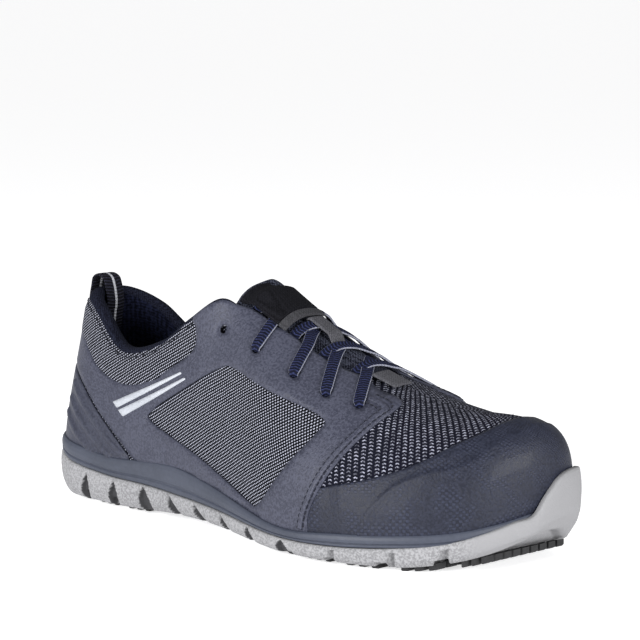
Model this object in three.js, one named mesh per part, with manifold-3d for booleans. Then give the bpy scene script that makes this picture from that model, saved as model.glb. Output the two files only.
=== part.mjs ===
// A low-cut safety sneaker for the right foot, as an assembly of separate named pieces:
// grooved outsole with toe bumper, tread pads, cupped midsole, hollow upper with a padded
// collar, overlays, tongue, insole, pull loop and lace crossings.
// Millimetres. +X runs from heel to toe, +Y to the big-toe side, +Z up from the floor.
import * as THREE from "three";
import { mergeVertices } from "three/addons/utils/BufferGeometryUtils.js";
import Module from "manifold-3d";

const wasm = await Module();
wasm.setup();

// Driving dimensions of the last and the sole
const soleLength = 300;
const ballWidth = 108;
const soleHeight = 28; // floor to the rim of the midsole beside the heel
const collarHeight = 100; // floor to the top of the collar behind the heel
const insoleThickness = 4.5;
const gap = 0.3; // between pieces that meet

// Walls and layers
const wall = 2.4; // knit, foam and lining of the upper
const collarPad = 4.6; // extra padding round the ankle
const overlay = 0.9; // smooth panels fused on the knit
const capStep = 0.6; // second layer of the toe cap
const ribStep = 0.6; // ribs of the heel counter
const rimWall = 1.5; // rim of the midsole round the upper
const tongueThickness = 6;

// Sole details
const treadDepth = 2; // how far the tread pads stand below the outsole
const padPocket = 1.6; // and how far they are let into it
const padInset = 8.5;
const grooveDepth = 3.4;
const notchDepth = 4.5;
const notchWidth = 5;

// Fastening
const eyeletRadius = 2.1;
const laceWidth = 5.8;
const laceThickness = 1.5;
const laceOver = 8; // its ends reach past the edge of the throat
const laceClear = 1.35; // under the ends of a crossing
const laceArch = 3.6; // rise of a crossing over the middle of the throat
const labelWidth = 27; // on the tongue
const labelThickness = 1.1;
const keeperWidth = 9;
const tagWidth = 12;
const tagOffset = 5; // towards the outer side
const tagThickness = 1.2;
const loopWidth = 11;
const loopEase = 3.4; // of its inner leg off the lining
const loopThickness = 1.4;
const loopStand = 7.9; // inside of the pull loop above the collar line

const OUTER = -1;
const INNER = 1;

// Plan outline of the sole, a row for each station from heel to toe.
// length is a share of soleLength; outer and inner are shares of ballWidth.
const planRows = [
  { length: 0, outer: 0, inner: 0 },
  { length: 0.018, outer: -0.166, inner: 0.166 },
  { length: 0.085, outer: -0.3, inner: 0.305 },
  { length: 0.2, outer: -0.334, inner: 0.33 },
  { length: 0.34, outer: -0.336, inner: 0.3 },
  { length: 0.48, outer: -0.395, inner: 0.33 },
  { length: 0.62, outer: -0.48, inner: 0.44 },
  { length: 0.74, outer: -0.477, inner: 0.517 },
  { length: 0.85, outer: -0.378, inner: 0.515 },
  { length: 0.935, outer: -0.2, inner: 0.468 },
  { length: 0.985, outer: 0.01, inner: 0.352 },
  { length: 1, outer: 0.19, inner: 0.19 },
];

// Side profile of the sole, heights as shares of soleHeight: lift is the outsole's
// rise off its flat tread, split the seam between outsole and midsole, bed the midsole's upper face
// and rim the top of its rim.
const soleRows = [
  { length: 0, lift: 0.19, split: 0.83, bed: 0.93, rim: 1.08 },
  { length: 0.05, lift: 0.05, split: 0.78, bed: 0.9, rim: 1.07 },
  { length: 0.1, lift: 0, split: 0.68, bed: 0.85, rim: 1.02 },
  { length: 0.2, lift: 0, split: 0.58, bed: 0.79, rim: 0.92 },
  { length: 0.28, lift: 0.02, split: 0.55, bed: 0.77, rim: 0.95 },
  { length: 0.36, lift: 0.07, split: 0.5, bed: 0.73, rim: 0.97 },
  { length: 0.45, lift: 0.09, split: 0.46, bed: 0.62, rim: 0.84 },
  { length: 0.56, lift: 0.05, split: 0.39, bed: 0.5, rim: 0.63 },
  { length: 0.66, lift: 0, split: 0.32, bed: 0.4, rim: 0.48 },
  { length: 0.76, lift: 0, split: 0.33, bed: 0.42, rim: 0.54 },
  { length: 0.85, lift: 0, split: 0.39, bed: 0.47, rim: 0.6 },
  { length: 0.92, lift: 0.1, split: 0.46, bed: 0.54, rim: 0.67 },
  { length: 0.965, lift: 0.25, split: 0.57, bed: 0.66, rim: 0.79 },
  { length: 1, lift: 0.46, split: 0.74, bed: 0.83, rim: 0.96 },
];

// Toe bumper: rise of the outsole's top edge above the split, as shares of soleHeight, how far
// the midsole tucks in behind it and how far its lower edge rolls in, as shares of ballWidth.
// station is a row number of planRows on the outer side, and runs on round the toe.
const bumperRows = [
  { station: 7.6, rise: 0, tuck: 0, roll: 0 },
  { station: 8.6, rise: 0.035, tuck: 0.002, roll: 0 },
  { station: 9.3, rise: 0.12, tuck: 0.012, roll: 0.006 },
  { station: 9.8, rise: 0.18, tuck: 0.022, roll: 0.022 },
  { station: 10.2, rise: 0.2, tuck: 0.028, roll: 0.036 },
  { station: 10.5, rise: 0.44, tuck: 0.03, roll: 0.044 },
  { station: 11, rise: 0.71, tuck: 0.03, roll: 0.046 },
  { station: 11.8, rise: 0.83, tuck: 0.03, roll: 0.046 },
  { station: 12.3, rise: 0.84, tuck: 0.03, roll: 0.04 },
  { station: 12.7, rise: 0.55, tuck: 0.024, roll: 0.022 },
  { station: 13.1, rise: 0.2, tuck: 0.012, roll: 0.006 },
  { station: 13.8, rise: 0.06, tuck: 0.002, roll: 0 },
  { station: 14.6, rise: 0, tuck: 0, roll: 0 },
];

// Top line of the upper, round the collar, down the throat and along the vamp to the toe.
// length is a share of soleLength, off a share of ballWidth from the centre line, height a
// share of collarHeight; rows with no height lie on the crown of the instep.
const topRows = [
  { station: 0, length: 0.042, side: 0.02, off: 0, height: 0.995 },
  { station: 1, length: 0.063, side: 0.03, off: 0.13, height: 0.985 },
  { station: 2, length: 0.118, side: 0.032, off: 0.21, height: 0.915 },
  { station: 3, length: 0.205, side: 0.012, off: 0.255, height: 0.765 },
  { station: 4, length: 0.3, side: 0, off: 0.25, height: 0.825 },
  { station: 4.6, length: 0.363, side: 0, off: 0.242, height: 0.95 },
  { station: 5.1, length: 0.412, side: 0, off: 0.225, height: 1.05 },
  { station: 5.45, length: 0.447, side: 0, off: 0.19, height: 1.088 },
  { station: 5.75, length: 0.477, side: 0, off: 0.155 },
  { station: 6.4, length: 0.56, side: 0, off: 0.135 },
  { station: 7, length: 0.64, side: 0, off: 0.124 },
  { station: 7.4, length: 0.683, side: 0, off: 0.106 },
  { station: 7.65, length: 0.708, side: 0, off: 0.065 },
  { station: 7.85, length: 0.723, side: 0, off: 0 },
  { station: 8.4, length: 0.765, side: 0, off: 0 },
  { station: 9, length: 0.82, side: 0, off: 0 },
  { station: 10, length: 0.89, side: 0, off: 0 },
  { station: 11, length: 0.922, side: 0, off: 0 },
];
const collarEnd = 5.1; // stations below it have the collar's hanging wall
const throatStart = 5.75; // stations above it lie on the crown
const throatFront = 7.85;

// Crown of the instep: the centre line of the vamp and tongue. side is a share of
// ballWidth, height and drop shares of collarHeight; drop is the fall at crownSpan from the crown.
const crownRows = [
  { length: 0.41, side: -0.005, height: 1.185, drop: 0.2 },
  { length: 0.455, side: 0, height: 1.125, drop: 0.19 },
  { length: 0.533, side: 0.003, height: 1, drop: 0.17 },
  { length: 0.633, side: 0.012, height: 0.853, drop: 0.15 },
  { length: 0.717, side: 0.028, height: 0.765, drop: 0.14 },
  { length: 0.783, side: 0.05, height: 0.702, drop: 0.13 },
  { length: 0.84, side: 0.075, height: 0.665, drop: 0.12 },
  { length: 0.9, side: 0.105, height: 0.655, drop: 0.11 },
  { length: 0.94, side: 0.12, height: 0.645, drop: 0.11 },
];
const crownPower = 2.4;
const crownSpan = ballWidth / 4; // where the drop is given, from the crown

// Fullness of the wall at each station. swell is a share of ballWidth, rise and reach are
// shares of the wall's height and width, flare the collar's outward lean.
const formRows = [
  { swell: -0.012, rise: 0.3, reach: 0.3, flare: 0.03 },
  { swell: -0.01, rise: 0.3, reach: 0.3, flare: 0.03 },
  { swell: 0, rise: 0.3, reach: 0.3, flare: 0.03 },
  { swell: 0.012, rise: 0.32, reach: 0.32, flare: 0.028 },
  { swell: 0.02, rise: 0.35, reach: 0.33, flare: 0.035 },
  { swell: 0.022, rise: 0.4, reach: 0.36, flare: 0.05 },
  { swell: 0.022, rise: 0.44, reach: 0.46, flare: 0.05 },
  { swell: 0.024, rise: 0.47, reach: 0.5, flare: 0.05 },
  { swell: 0.024, rise: 0.54, reach: 0.6, flare: 0.05 },
  { swell: 0.03, rise: 0.64, reach: 0.88, flare: 0.05 },
  { swell: 0.032, rise: 0.7, reach: 0.98, flare: 0.05 },
  { swell: 0.032, rise: 0.72, reach: 0.99, flare: 0.05 },
];

const lerp = (a, b, t) => a + (b - a) * t;
const clamp = (x, low, high) => Math.min(high, Math.max(low, x));
const ease = (a, b, x) => {
  const t = clamp((x - a) / (b - a), 0, 1);
  return t * t * (3 - 2 * t);
};

// A smooth curve through values at knots; before and after lie one row past each end.
function through(knots, values, before, after) {
  const last = knots.length - 1;
  const k = [2 * knots[0] - knots[1], ...knots, 2 * knots[last] - knots[last - 1]];
  const v = [
    before ?? 2 * values[0] - values[1],
    ...values,
    after ?? 2 * values[last] - values[last - 1],
  ];
  return (x) => {
    let i = 1;
    while (i < k.length - 3 && x > k[i + 1]) i++;
    const h = k[i + 1] - k[i];
    const t = (x - k[i]) / h;
    const m0 = ((v[i + 1] - v[i - 1]) / (k[i + 1] - k[i - 1])) * h;
    const m1 = ((v[i + 2] - v[i]) / (k[i + 2] - k[i])) * h;
    const t2 = t * t;
    const t3 = t2 * t;
    return (
      (2 * t3 - 3 * t2 + 1) * v[i] +
      (t3 - 2 * t2 + t) * m0 +
      (3 * t2 - 2 * t3) * v[i + 1] +
      (t3 - t2) * m1
    );
  };
}

// One column of a table as a curve: along the length, or by station.
const alongLength = (rows, key, unit) =>
  through(rows.map((r) => r.length * soleLength), rows.map((r) => r[key] * unit));
const byStation = (rows, key, unit, mirror = 1) => {
  const values = rows.map((r) => r[key] * unit);
  return through(
    rows.map((r, i) => r.station ?? i),
    values,
    values[1] * mirror,
    values.at(-2),
  );
};

const toeStation = planRows.length - 1;
const planX = byStation(planRows, "length", soleLength);
const planYs = { [OUTER]: planCurve("outer", "inner"), [INNER]: planCurve("inner", "outer") };
function planCurve(own, other) {
  return through(
    planRows.map((r, i) => i),
    planRows.map((r) => r[own] * ballWidth),
    planRows[1][other] * ballWidth,
    planRows.at(-2)[other] * ballWidth,
  );
}
const liftCurve = alongLength(soleRows, "lift", soleHeight);
const lift = (x) => Math.max(0, liftCurve(x));
const under = (x) => treadDepth + lift(x);
const split = alongLength(soleRows, "split", soleHeight);
const bed = alongLength(soleRows, "bed", soleHeight);
const rim = alongLength(soleRows, "rim", soleHeight);
const bumper = (key, unit) => {
  const curve = byStation(bumperRows, key, unit);
  return (side, s) => {
    const station = side === OUTER ? s : 2 * toeStation - s;
    const beyond = station < bumperRows[0].station || station > bumperRows.at(-1).station;
    return beyond ? 0 : Math.max(0, curve(station));
  };
};
const rise = bumper("rise", soleHeight);
const tuck = bumper("tuck", ballWidth);
const roll = bumper("roll", ballWidth);

const crownY = alongLength(crownRows, "side", ballWidth);
const crownZ = alongLength(crownRows, "height", collarHeight);
const crownDrop = alongLength(crownRows, "drop", collarHeight);
const crownHeight = (x, off) =>
  crownZ(x) - crownDrop(x) * Math.abs(off / crownSpan) ** crownPower;
const topX = byStation(topRows, "length", soleLength);
const topOff = byStation(topRows, "off", ballWidth, -1);
const topSide = byStation(topRows, "side", ballWidth);
const collarRows = topRows.filter((r) => r.height);
const collarZ = byStation(
  [
    ...collarRows,
    ...topRows.slice(collarRows.length, collarRows.length + 2).map((r) => ({
      station: r.station,
      height: crownHeight(r.length * soleLength, r.off * ballWidth) / collarHeight,
    })),
  ],
  "height",
  collarHeight,
);
const swell = byStation(formRows, "swell", ballWidth);
const baseRise = byStation(formRows, "rise", 1);
const topReach = byStation(formRows, "reach", 1);
const flare = byStation(formRows, "flare", ballWidth);

// The two sides meet behind the heel and in front of the toe, on one shared line.
const shared = (side, s) => (s === 0 || s === toeStation ? OUTER : side);

// A point of the sole's outline moved outwards by offset, at height z.
function outline(ownSide, s, offset, z) {
  const e = 1e-3;
  const side = shared(ownSide, s);
  const y = planYs[side];
  const tx = planX(s + e) - planX(s - e);
  const ty = y(s + e) - y(s - e);
  const n = side / Math.hypot(tx, ty);
  return new THREE.Vector3(planX(s) - ty * n * offset, y(s) + tx * n * offset, z);
}

const upperInset = 1.6 + rimWall + gap;

// The four control points of the wall's curve at a station, from the bed to the top line.
function controls(side, s) {
  const inset = -(upperInset + tuck(side, s));
  const base = outline(side, s, inset, bed(planX(s)) + gap);
  const x = topX(s);
  const off = s >= throatFront ? 0 : Math.max(0, topOff(s));
  const hanging = 1 - ease(collarEnd, throatStart, s);
  const z = lerp(crownHeight(x, off), s < throatStart ? collarZ(s) : 0, hanging);
  const top = new THREE.Vector3(x, lerp(crownY(x), topSide(s), hanging) + side * off, z);
  const height = top.z - base.z;
  const outward = outline(side, s, inset + swell(s), base.z).sub(base);
  const low = base.clone().add(outward);
  low.z += baseRise(s) * height;
  const flared = outline(side, s, inset + flare(s), base.z).sub(base);
  const hang = flared.setZ(-topReach(s) * height);
  const spread = base.clone().sub(top).setZ(0);
  const e = 0.5;
  const slopeX = (crownZ(x + e) - crownZ(x - e)) / (2 * e);
  const slopeOff = (crownHeight(x, off + e) - crownHeight(x, Math.abs(off - e))) / (2 * e);
  spread.multiplyScalar(topReach(s));
  spread.z = slopeX * spread.x + slopeOff * side * spread.y;
  const high = top.clone().add(spread.lerp(hang, hanging));
  return [base, low, high, top];
}

const controlCache = new Map();
function wallPoint(side, s, t) {
  const key = side + ":" + s.toFixed(6);
  if (!controlCache.has(key)) controlCache.set(key, controls(side, s));
  const [a, b, c, d] = controlCache.get(key);
  const u = 1 - t;
  return new THREE.Vector3()
    .addScaledVector(a, u * u * u)
    .addScaledVector(b, 3 * u * u * t)
    .addScaledVector(c, 3 * u * t * t)
    .addScaledVector(d, t * t * t);
}

// The wall's outward normal.
function wallNormal(side, s, t) {
  const e = 2e-3;
  const onCrown = s >= throatFront && t > 1 - e;
  if (onCrown) {
    const x = topX(s);
    const along = new THREE.Vector3(1, (crownY(x + 1) - crownY(x - 1)) / 2, (crownZ(x + 1) - crownZ(x - 1)) / 2);
    return along.cross(new THREE.Vector3(0, 1, 0)).normalize();
  }
  const lowT = Math.max(0, t - e);
  const highT = Math.min(1, t + e);
  let lowS = Math.max(0, s - e);
  let highS = Math.min(toeStation, s + e);
  const up = wallPoint(side, s, highT).sub(wallPoint(side, s, lowT));
  let along;
  if (s < e || s > toeStation - e) {
    const reach = s < e ? highS : lowS;
    along = wallPoint(-side, reach, t).sub(wallPoint(side, reach, t));
    if (s < e) along.negate();
  } else {
    along = wallPoint(side, highS, t).sub(wallPoint(side, lowS, t));
  }
  return up.cross(along).multiplyScalar(side).normalize();
}

const skin = (ownSide, s, t, offset) => {
  const side = shared(ownSide, s);
  return wallPoint(side, s, t).addScaledVector(wallNormal(side, s, t), offset);
};

// Thickness of the upper's wall, with the padding round the collar.
const padding = (s, t) => collarPad * ease(0.5, 0.88, t) * (1 - ease(4.2, 5.3, s));

// Stations of the mesh columns, closer where the top line turns.
const stations = [
  0, 0.4, 0.8, 1.2, 1.6, 2, 2.5, 3, 3.5, 4, 4.5, 5.1, 5.45, 5.75, 6.2, 6.7, 7.1, 7.4, 7.65, 7.85,
  8.25, 8.7, 9.1, 9.5, 9.9, 10.3, 10.65, toeStation,
];
const soleStations = [
  0, 0.35, 0.7, 1.05, 1.4, 1.75, 2.2, 2.7, 3.2, 3.8, 4.4, 5, 5.6, 6.2, 6.7, 7.2, 7.7, 8.1, 8.5, 8.9,
  9.3, 9.65, 9.95, 10.2, 10.45, 10.7, toeStation,
];

// Collects triangles and closes them into a solid.
class Shape {
  points = [];
  add(...triangle) {
    for (const p of triangle) this.points.push(p.x, p.y, p.z);
  }
  quad(a, b, c, d) {
    this.add(a, b, c);
    this.add(a, c, d);
  }
  // The strip between two rows of points, split the same way whichever way it faces.
  strip(low, high, turned) {
    for (let k = 0; k + 1 < low.length; k++)
      if (turned) this.quad(low[k], high[k], high[k + 1], low[k + 1]);
      else this.quad(low[k], low[k + 1], high[k + 1], high[k]);
  }
  solid() {
    const g = new THREE.BufferGeometry();
    g.setAttribute("position", new THREE.Float32BufferAttribute(this.points, 3));
    return solidOf(g);
  }
}

// A closed geometry as a solid, with shared corners merged and empty triangles dropped.
function solidOf(geometry) {
  const g = geometry.clone();
  g.deleteAttribute("normal");
  g.deleteAttribute("uv");
  const merged = mergeVertices(g, 1e-3);
  const index = [];
  const from = merged.index.array;
  for (let i = 0; i < from.length; i += 3) {
    const [a, b, c] = [from[i], from[i + 1], from[i + 2]];
    if (a !== b && b !== c && c !== a) index.push(a, b, c);
  }
  const made = new wasm.Manifold(
    new wasm.Mesh({
      numProp: 3,
      vertProperties: merged.attributes.position.array,
      triVerts: new Uint32Array(index),
    }),
  );
  if (made.volume() > 0) return made;
  for (let i = 0; i < index.length; i += 3)
    [index[i + 1], index[i + 2]] = [index[i + 2], index[i + 1]];
  return new wasm.Manifold(
    new wasm.Mesh({
      numProp: 3,
      vertProperties: merged.attributes.position.array,
      triVerts: new Uint32Array(index),
    }),
  );
}

// A solid from rings round the sole: ring(side, s) gives a point. The first and the last
// ring are closed across from side to side.
function ringSolid(rings, columns = soleStations) {
  const shape = new Shape();
  const grid = { [OUTER]: [], [INNER]: [] };
  for (const side of [OUTER, INNER])
    for (const ring of rings) grid[side].push(columns.map((s) => ring(side, s)));
  for (let i = 0; i + 1 < columns.length; i++) {
    for (const side of [OUTER, INNER]) {
      const column = (n) => grid[side].map((ring) => ring[n]);
      shape.strip(column(i), column(i + 1), side === OUTER);
    }
    const cap = (k) => [
      grid[OUTER][k][i],
      grid[INNER][k][i],
      grid[INNER][k][i + 1],
      grid[OUTER][k][i + 1],
    ];
    shape.quad(...cap(0));
    shape.quad(...cap(rings.length - 1).reverse());
  }
  return shape.solid();
}

// A shell between two offsets of the wall. low and high give its lower and upper edge.
function shell({ outside, inside, low = () => 0, high = () => 1, rows = 6, round = false, columns = stations }) {
  const shape = new Shape();
  for (const side of [OUTER, INNER]) {
    const loops = columns.map((s) => {
      const from = low(s);
      const to = high(s);
      const steps = Array.from({ length: rows + 1 }, (_, j) => lerp(from, to, j / rows));
      const out = steps.map((t) => skin(side, s, t, outside(s, t)));
      const back = steps.map((t) => skin(side, s, t, inside(s, t)));
      const open = s < throatFront || to < 1;
      const edge = [];
      if (round) {
        const a = out.at(-1);
        const b = back.at(-1);
        const crest = a.clone().sub(out.at(-2)).normalize().multiplyScalar(a.distanceTo(b) * 0.5);
        for (const turn of [0.3, 0.5, 0.7]) {
          const p = a.clone().lerp(b, (1 - Math.cos(Math.PI * turn)) / 2);
          const lift = s < throatStart ? Math.sin(Math.PI * turn) * (1 - ease(collarEnd, throatStart, s)) : 0;
          edge.push(p.addScaledVector(crest, lift));
        }
      }
      return { out, edge, back, open };
    });
    for (let i = 0; i + 1 < loops.length; i++) {
      const [a, b] = [loops[i], loops[i + 1]];
      const outward = side === OUTER;
      shape.strip(a.out, b.out, outward);
      shape.strip(a.back, b.back, !outward);
      shape.strip([a.back[0], a.out[0]], [b.back[0], b.out[0]], outward);
      if (a.open)
        shape.strip([a.out.at(-1), ...a.edge, a.back.at(-1)], [b.out.at(-1), ...b.edge, b.back.at(-1)], outward);
    }
  }
  return shape.solid();
}

// Everything inside the wall moved outwards by offset(s, t), from depth below the bed up
// to the top line, and on to lift above it where the shoe is open.
function filledForm(offset, openLift = 0) {
  const rows = 6;
  const rings = [(side, s) => skin(side, s, 0, offset(s, 0)).setZ(bed(planX(s)))];
  for (let j = 0; j <= rows; j++) rings.push((side, s) => skin(side, s, j / rows, offset(s, j / rows)));
  const raised = (s) => new THREE.Vector3(0, 0, s < throatFront ? openLift : 0);
  if (openLift) rings.push((side, s) => skin(side, s, 1, offset(s, 1)).add(raised(s)));
  return ringSolid(rings, stations);
}
const grown = (amount, openLift = 0) => filledForm(() => amount, openLift);
const roomInside = filledForm((s, t) => -wall - padding(s, t) - gap, 60);

// A prism across the shoe from a closed side view of [length, height] points. smooth runs a
// curve through the points. side is one side only, or 0 for both.
function sidePrism(points, { side = 0, smooth = false, steps = 24 } = {}) {
  const flat = points.map(([x, z]) => new THREE.Vector2(x, z));
  const shape = new THREE.Shape(smooth ? new THREE.CatmullRomCurve3(
    flat.map((p) => new THREE.Vector3(p.x, p.y, 0)), true).getPoints(steps) : flat);
  const g = new THREE.ExtrudeGeometry(shape, { depth: ballWidth, bevelEnabled: false });
  g.rotateX(Math.PI / 2); // the outline stands in X and Z, and the depth runs to -Y
  const far = { [OUTER]: -gap / 2, [INNER]: ballWidth + gap / 2, 0: ballWidth / 2 };
  g.translate(0, far[side], 0);
  return solidOf(g);
}

// A sheet over the instep: a grid in length and distance from the crown, between the
// heights low and high.
function sheet({ from, to, half, low, high, rows = 6, columns = 6, middle = 0 }) {
  const shape = new Shape();
  const at = (i, j, height) => {
    const x = lerp(from, to, i / rows);
    const off = middle + half(x) * (2 * (j / columns) - 1);
    return new THREE.Vector3(x, crownY(x) + off, height(x, off));
  };
  for (let i = 0; i < rows; i++)
    for (let j = 0; j < columns; j++)
      for (const [height, turn] of [[low, true], [high, false]]) {
        const q = [at(i, j, height), at(i + 1, j, height), at(i + 1, j + 1, height), at(i, j + 1, height)];
        if (turn) q.reverse();
        shape.quad(...q);
      }
  const wallStrip = (a, b) => shape.quad(at(...a, low), at(...a, high), at(...b, high), at(...b, low));
  for (let i = 0; i < rows; i++) {
    wallStrip([i + 1, 0], [i, 0]);
    wallStrip([i, columns], [i + 1, columns]);
  }
  for (let j = 0; j < columns; j++) {
    wallStrip([0, j], [0, j + 1]);
    wallStrip([rows, j + 1], [rows, j]);
  }
  return shape.solid();
}

// A flat strap through points, each with the strap's width direction and its upward one.
function strap(points, across, up, width, thickness) {
  const shape = new Shape();
  const rings = points.map((p, i) => {
    const w = across(i).clone().multiplyScalar(width / 2);
    const u = up(i).clone().multiplyScalar(thickness);
    return [
      p.clone().sub(w),
      p.clone().add(w),
      p.clone().add(w).add(u),
      p.clone().sub(w).add(u),
    ];
  });
  for (let i = 0; i + 1 < rings.length; i++)
    for (let k = 0; k < 4; k++)
      shape.quad(rings[i][k], rings[i][(k + 1) % 4], rings[i + 1][(k + 1) % 4], rings[i + 1][k]);
  shape.quad(rings[0][3], rings[0][2], rings[0][1], rings[0][0]);
  shape.quad(...rings.at(-1));
  return shape.solid();
}

const group = new THREE.Group();
const shoe = new THREE.Group();
shoe.name = "shoe";
group.add(shoe);
function place(name, solid, color, roughness = 0.8) {
  const { numProp, vertProperties, triVerts } = solid.getMesh();
  const position = new Float32Array((vertProperties.length / numProp) * 3);
  for (let i = 0; i < position.length / 3; i++)
    position.set(vertProperties.subarray(i * numProp, i * numProp + 3), i * 3);
  const g = new THREE.BufferGeometry();
  g.setAttribute("position", new THREE.BufferAttribute(position, 3));
  g.setIndex(new THREE.BufferAttribute(new Uint32Array(triVerts), 1));
  g.computeVertexNormals();
  const mesh = new THREE.Mesh(g, new THREE.MeshStandardMaterial({ color, roughness, metalness: 0 }));
  mesh.name = name;
  shoe.add(mesh);
}

const NAVY_BLACK = 0x33363f;
const FILM = 0x484c5c;
const MIDSOLE_BLUE = 0x464f6b;
const GREY_RUBBER = 0xa3a3a6;
const BLACK_RUBBER = 0x1c1c1e;
const TEXTILE = 0x22242c;
const LACE_BLUE = 0x2b3052;

// Midsole: a cup whose rim stands round the foot of the upper.
const cupInset = (side, s) => 0.8 + tuck(side, s);
const cupRings = (grow) => [
  (side, s) => outline(side, s, -cupInset(side, s) - 2.6, split(planX(s)) + gap - grow),
  (side, s) => outline(side, s, -cupInset(side, s) + grow, split(planX(s)) + gap - grow),
  (side, s) => outline(side, s, -cupInset(side, s) + 0.2 + grow, lerp(split(planX(s)), rim(planX(s)), 0.5)),
  (side, s) => outline(side, s, -cupInset(side, s) - 0.8 + grow, rim(planX(s)) + grow),
  (side, s) => outline(side, s, -cupInset(side, s) - 4, rim(planX(s)) + grow),
];
const midsole = ringSolid(cupRings(0)).subtract(grown(gap));
const midsoleSpace = ringSolid(cupRings(gap));

// The station at which the outline passes a length.
function stationAt(x) {
  let [low, high] = [0, toeStation];
  for (let i = 0; i < 30; i++) {
    const middle = (low + high) / 2;
    if (planX(middle) < x) low = middle;
    else high = middle;
  }
  return low;
}

// Side notches of the outsole: drops, wide below and pointed above.
const topEdge = (side, s) => split(planX(s)) + rise(side, s);
function notch(side, x, width) {
  const s = stationAt(x);
  const low = under(x) - 1;
  const high = lerp(under(x), topEdge(side, s), 0.8);
  const shape = new THREE.Shape();
  shape.moveTo(-width / 2, low);
  shape.lineTo(width / 2, low);
  shape.quadraticCurveTo(width * 0.45, lerp(low, high, 0.6), width * 0.2, high);
  shape.quadraticCurveTo(-width * 0.3, lerp(low, high, 0.75), -width / 2, low);
  const g = new THREE.ExtrudeGeometry(shape, { depth: notchDepth + 4, bevelEnabled: false, curveSegments: 4 });
  const inner = outline(side, s, -notchDepth, 0);
  const outward = outline(side, s, 0, 0).sub(inner).normalize();
  const up = new THREE.Vector3(0, 0, 1);
  const along = up.clone().cross(outward);
  const frame = new THREE.Matrix4().makeBasis(along, up, outward).setPosition(inner);
  return solidOf(g.applyMatrix4(frame));
}
const notches = [0.077, 0.137, 0.21, 0.293, 0.363, 0.433, 0.503, 0.573, 0.663].map((x) => x * soleLength);
const grooves = [
  { at: 0.137, width: 3 },
  { at: 0.21, width: 3 },
  { at: 0.677, width: 3.4 },
  { at: 0.75, width: 3.4 },
  { at: 0.833, width: 5 },
  { at: 0.91, width: 5 },
];
function groove({ at, width }) {
  const x = at * soleLength;
  const height = grooveDepth + treadDepth + lift(x);
  const box = new THREE.BoxGeometry(width, 2 * ballWidth, height);
  box.translate(x, 0, height / 2 - 1e-3);
  return solidOf(box);
}

// Tread pads: blocks let into the underside between the grooves.
const pads = [
  { name: "tread_heel_back", from: 0.06, to: 0.127 },
  { name: "tread_heel_middle", from: 0.147, to: 0.2 },
  { name: "tread_heel_front", from: 0.22, to: 0.28 },
  { name: "tread_ball_back", from: 0.6, to: 0.667 },
  { name: "tread_ball_middle", from: 0.687, to: 0.74 },
  { name: "tread_ball_front", from: 0.76, to: 0.822 },
  { name: "tread_toe_back", from: 0.845, to: 0.9 },
  { name: "tread_toe_front", from: 0.92, to: 0.952 },
];
function pad({ from, to }, grow) {
  const block = ringSolid([
    (side, s) => outline(side, s, grow - padInset, lift(planX(s)) - grow),
    (side, s) => outline(side, s, grow - padInset, under(planX(s)) + padPocket - gap + grow),
  ]);
  const low = from * soleLength - grow;
  const box = new THREE.BoxGeometry(to * soleLength + grow - low, ballWidth, 4 * soleHeight);
  box.translate(low + (to * soleLength + grow - low) / 2, 0, 0);
  return block.intersect(solidOf(box));
}

const outsoleRings = [
  (side, s) => outline(side, s, -9 - roll(side, s), under(planX(s))),
  (side, s) => outline(side, s, -4.5 - roll(side, s), under(planX(s))),
  (side, s) => outline(side, s, -2 - 0.45 * roll(side, s), under(planX(s)) + 1.5 + 0.35 * roll(side, s)),
  (side, s) => outline(side, s, -0.4, lerp(under(planX(s)), topEdge(side, s), 0.4)),
  (side, s) => outline(side, s, 0, lerp(under(planX(s)), topEdge(side, s), 0.65)),
  (side, s) => outline(side, s, -0.2 - 0.01 * rise(side, s), lerp(under(planX(s)), topEdge(side, s), 0.87)),
  (side, s) => outline(side, s, -0.9 - 0.02 * rise(side, s), topEdge(side, s)),
  (side, s) => outline(side, s, -11, topEdge(side, s)),
  (side, s) => outline(side, s, -11, split(planX(s))),
];
function makeOutsole() {
  const cuts = [midsoleSpace, grown(overlay + capStep + 2 * gap)];
  for (const side of [OUTER, INNER]) for (const x of notches) cuts.push(notch(side, x, notchWidth));
  for (const g of grooves) cuts.push(groove(g));
  for (const p of pads) cuts.push(pad(p, gap));
  return ringSolid(outsoleRings).subtract(wasm.Manifold.union(cuts));
}

// Eyelet holes square to the wall.
const eyelets = [
  { station: 5.34, up: 0.85 },
  { station: 5.82, up: 0.765 },
  { station: 6.44, up: 0.77 },
  { station: 6.94, up: 0.77 },
  { station: 7.46, up: 0.755 },
];
function eyeletHole(side, { station, up }, radius) {
  const g = new THREE.CylinderGeometry(radius, radius, 5 * wall, 10);
  const axis = new THREE.Vector3(0, 1, 0);
  g.applyQuaternion(new THREE.Quaternion().setFromUnitVectors(axis, wallNormal(side, station, up)));
  g.translate(...wallPoint(side, station, up));
  return solidOf(g);
}
const eyeletHoles = (radius, sides = [OUTER, INNER]) =>
  wasm.Manifold.union(sides.flatMap((side) => eyelets.map((e) => eyeletHole(side, e, radius))));

const upper = shell({ outside: () => 0, inside: (s, t) => -wall - padding(s, t), round: true });

const insole = ringSolid([
  (side, s) => outline(side, s, -1, bed(planX(s)) + 2 * gap),
  (side, s) => outline(side, s, -1, bed(planX(s)) + 2 * gap + insoleThickness),
]).intersect(filledForm((s, t) => -wall - padding(s, t) - gap));

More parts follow.
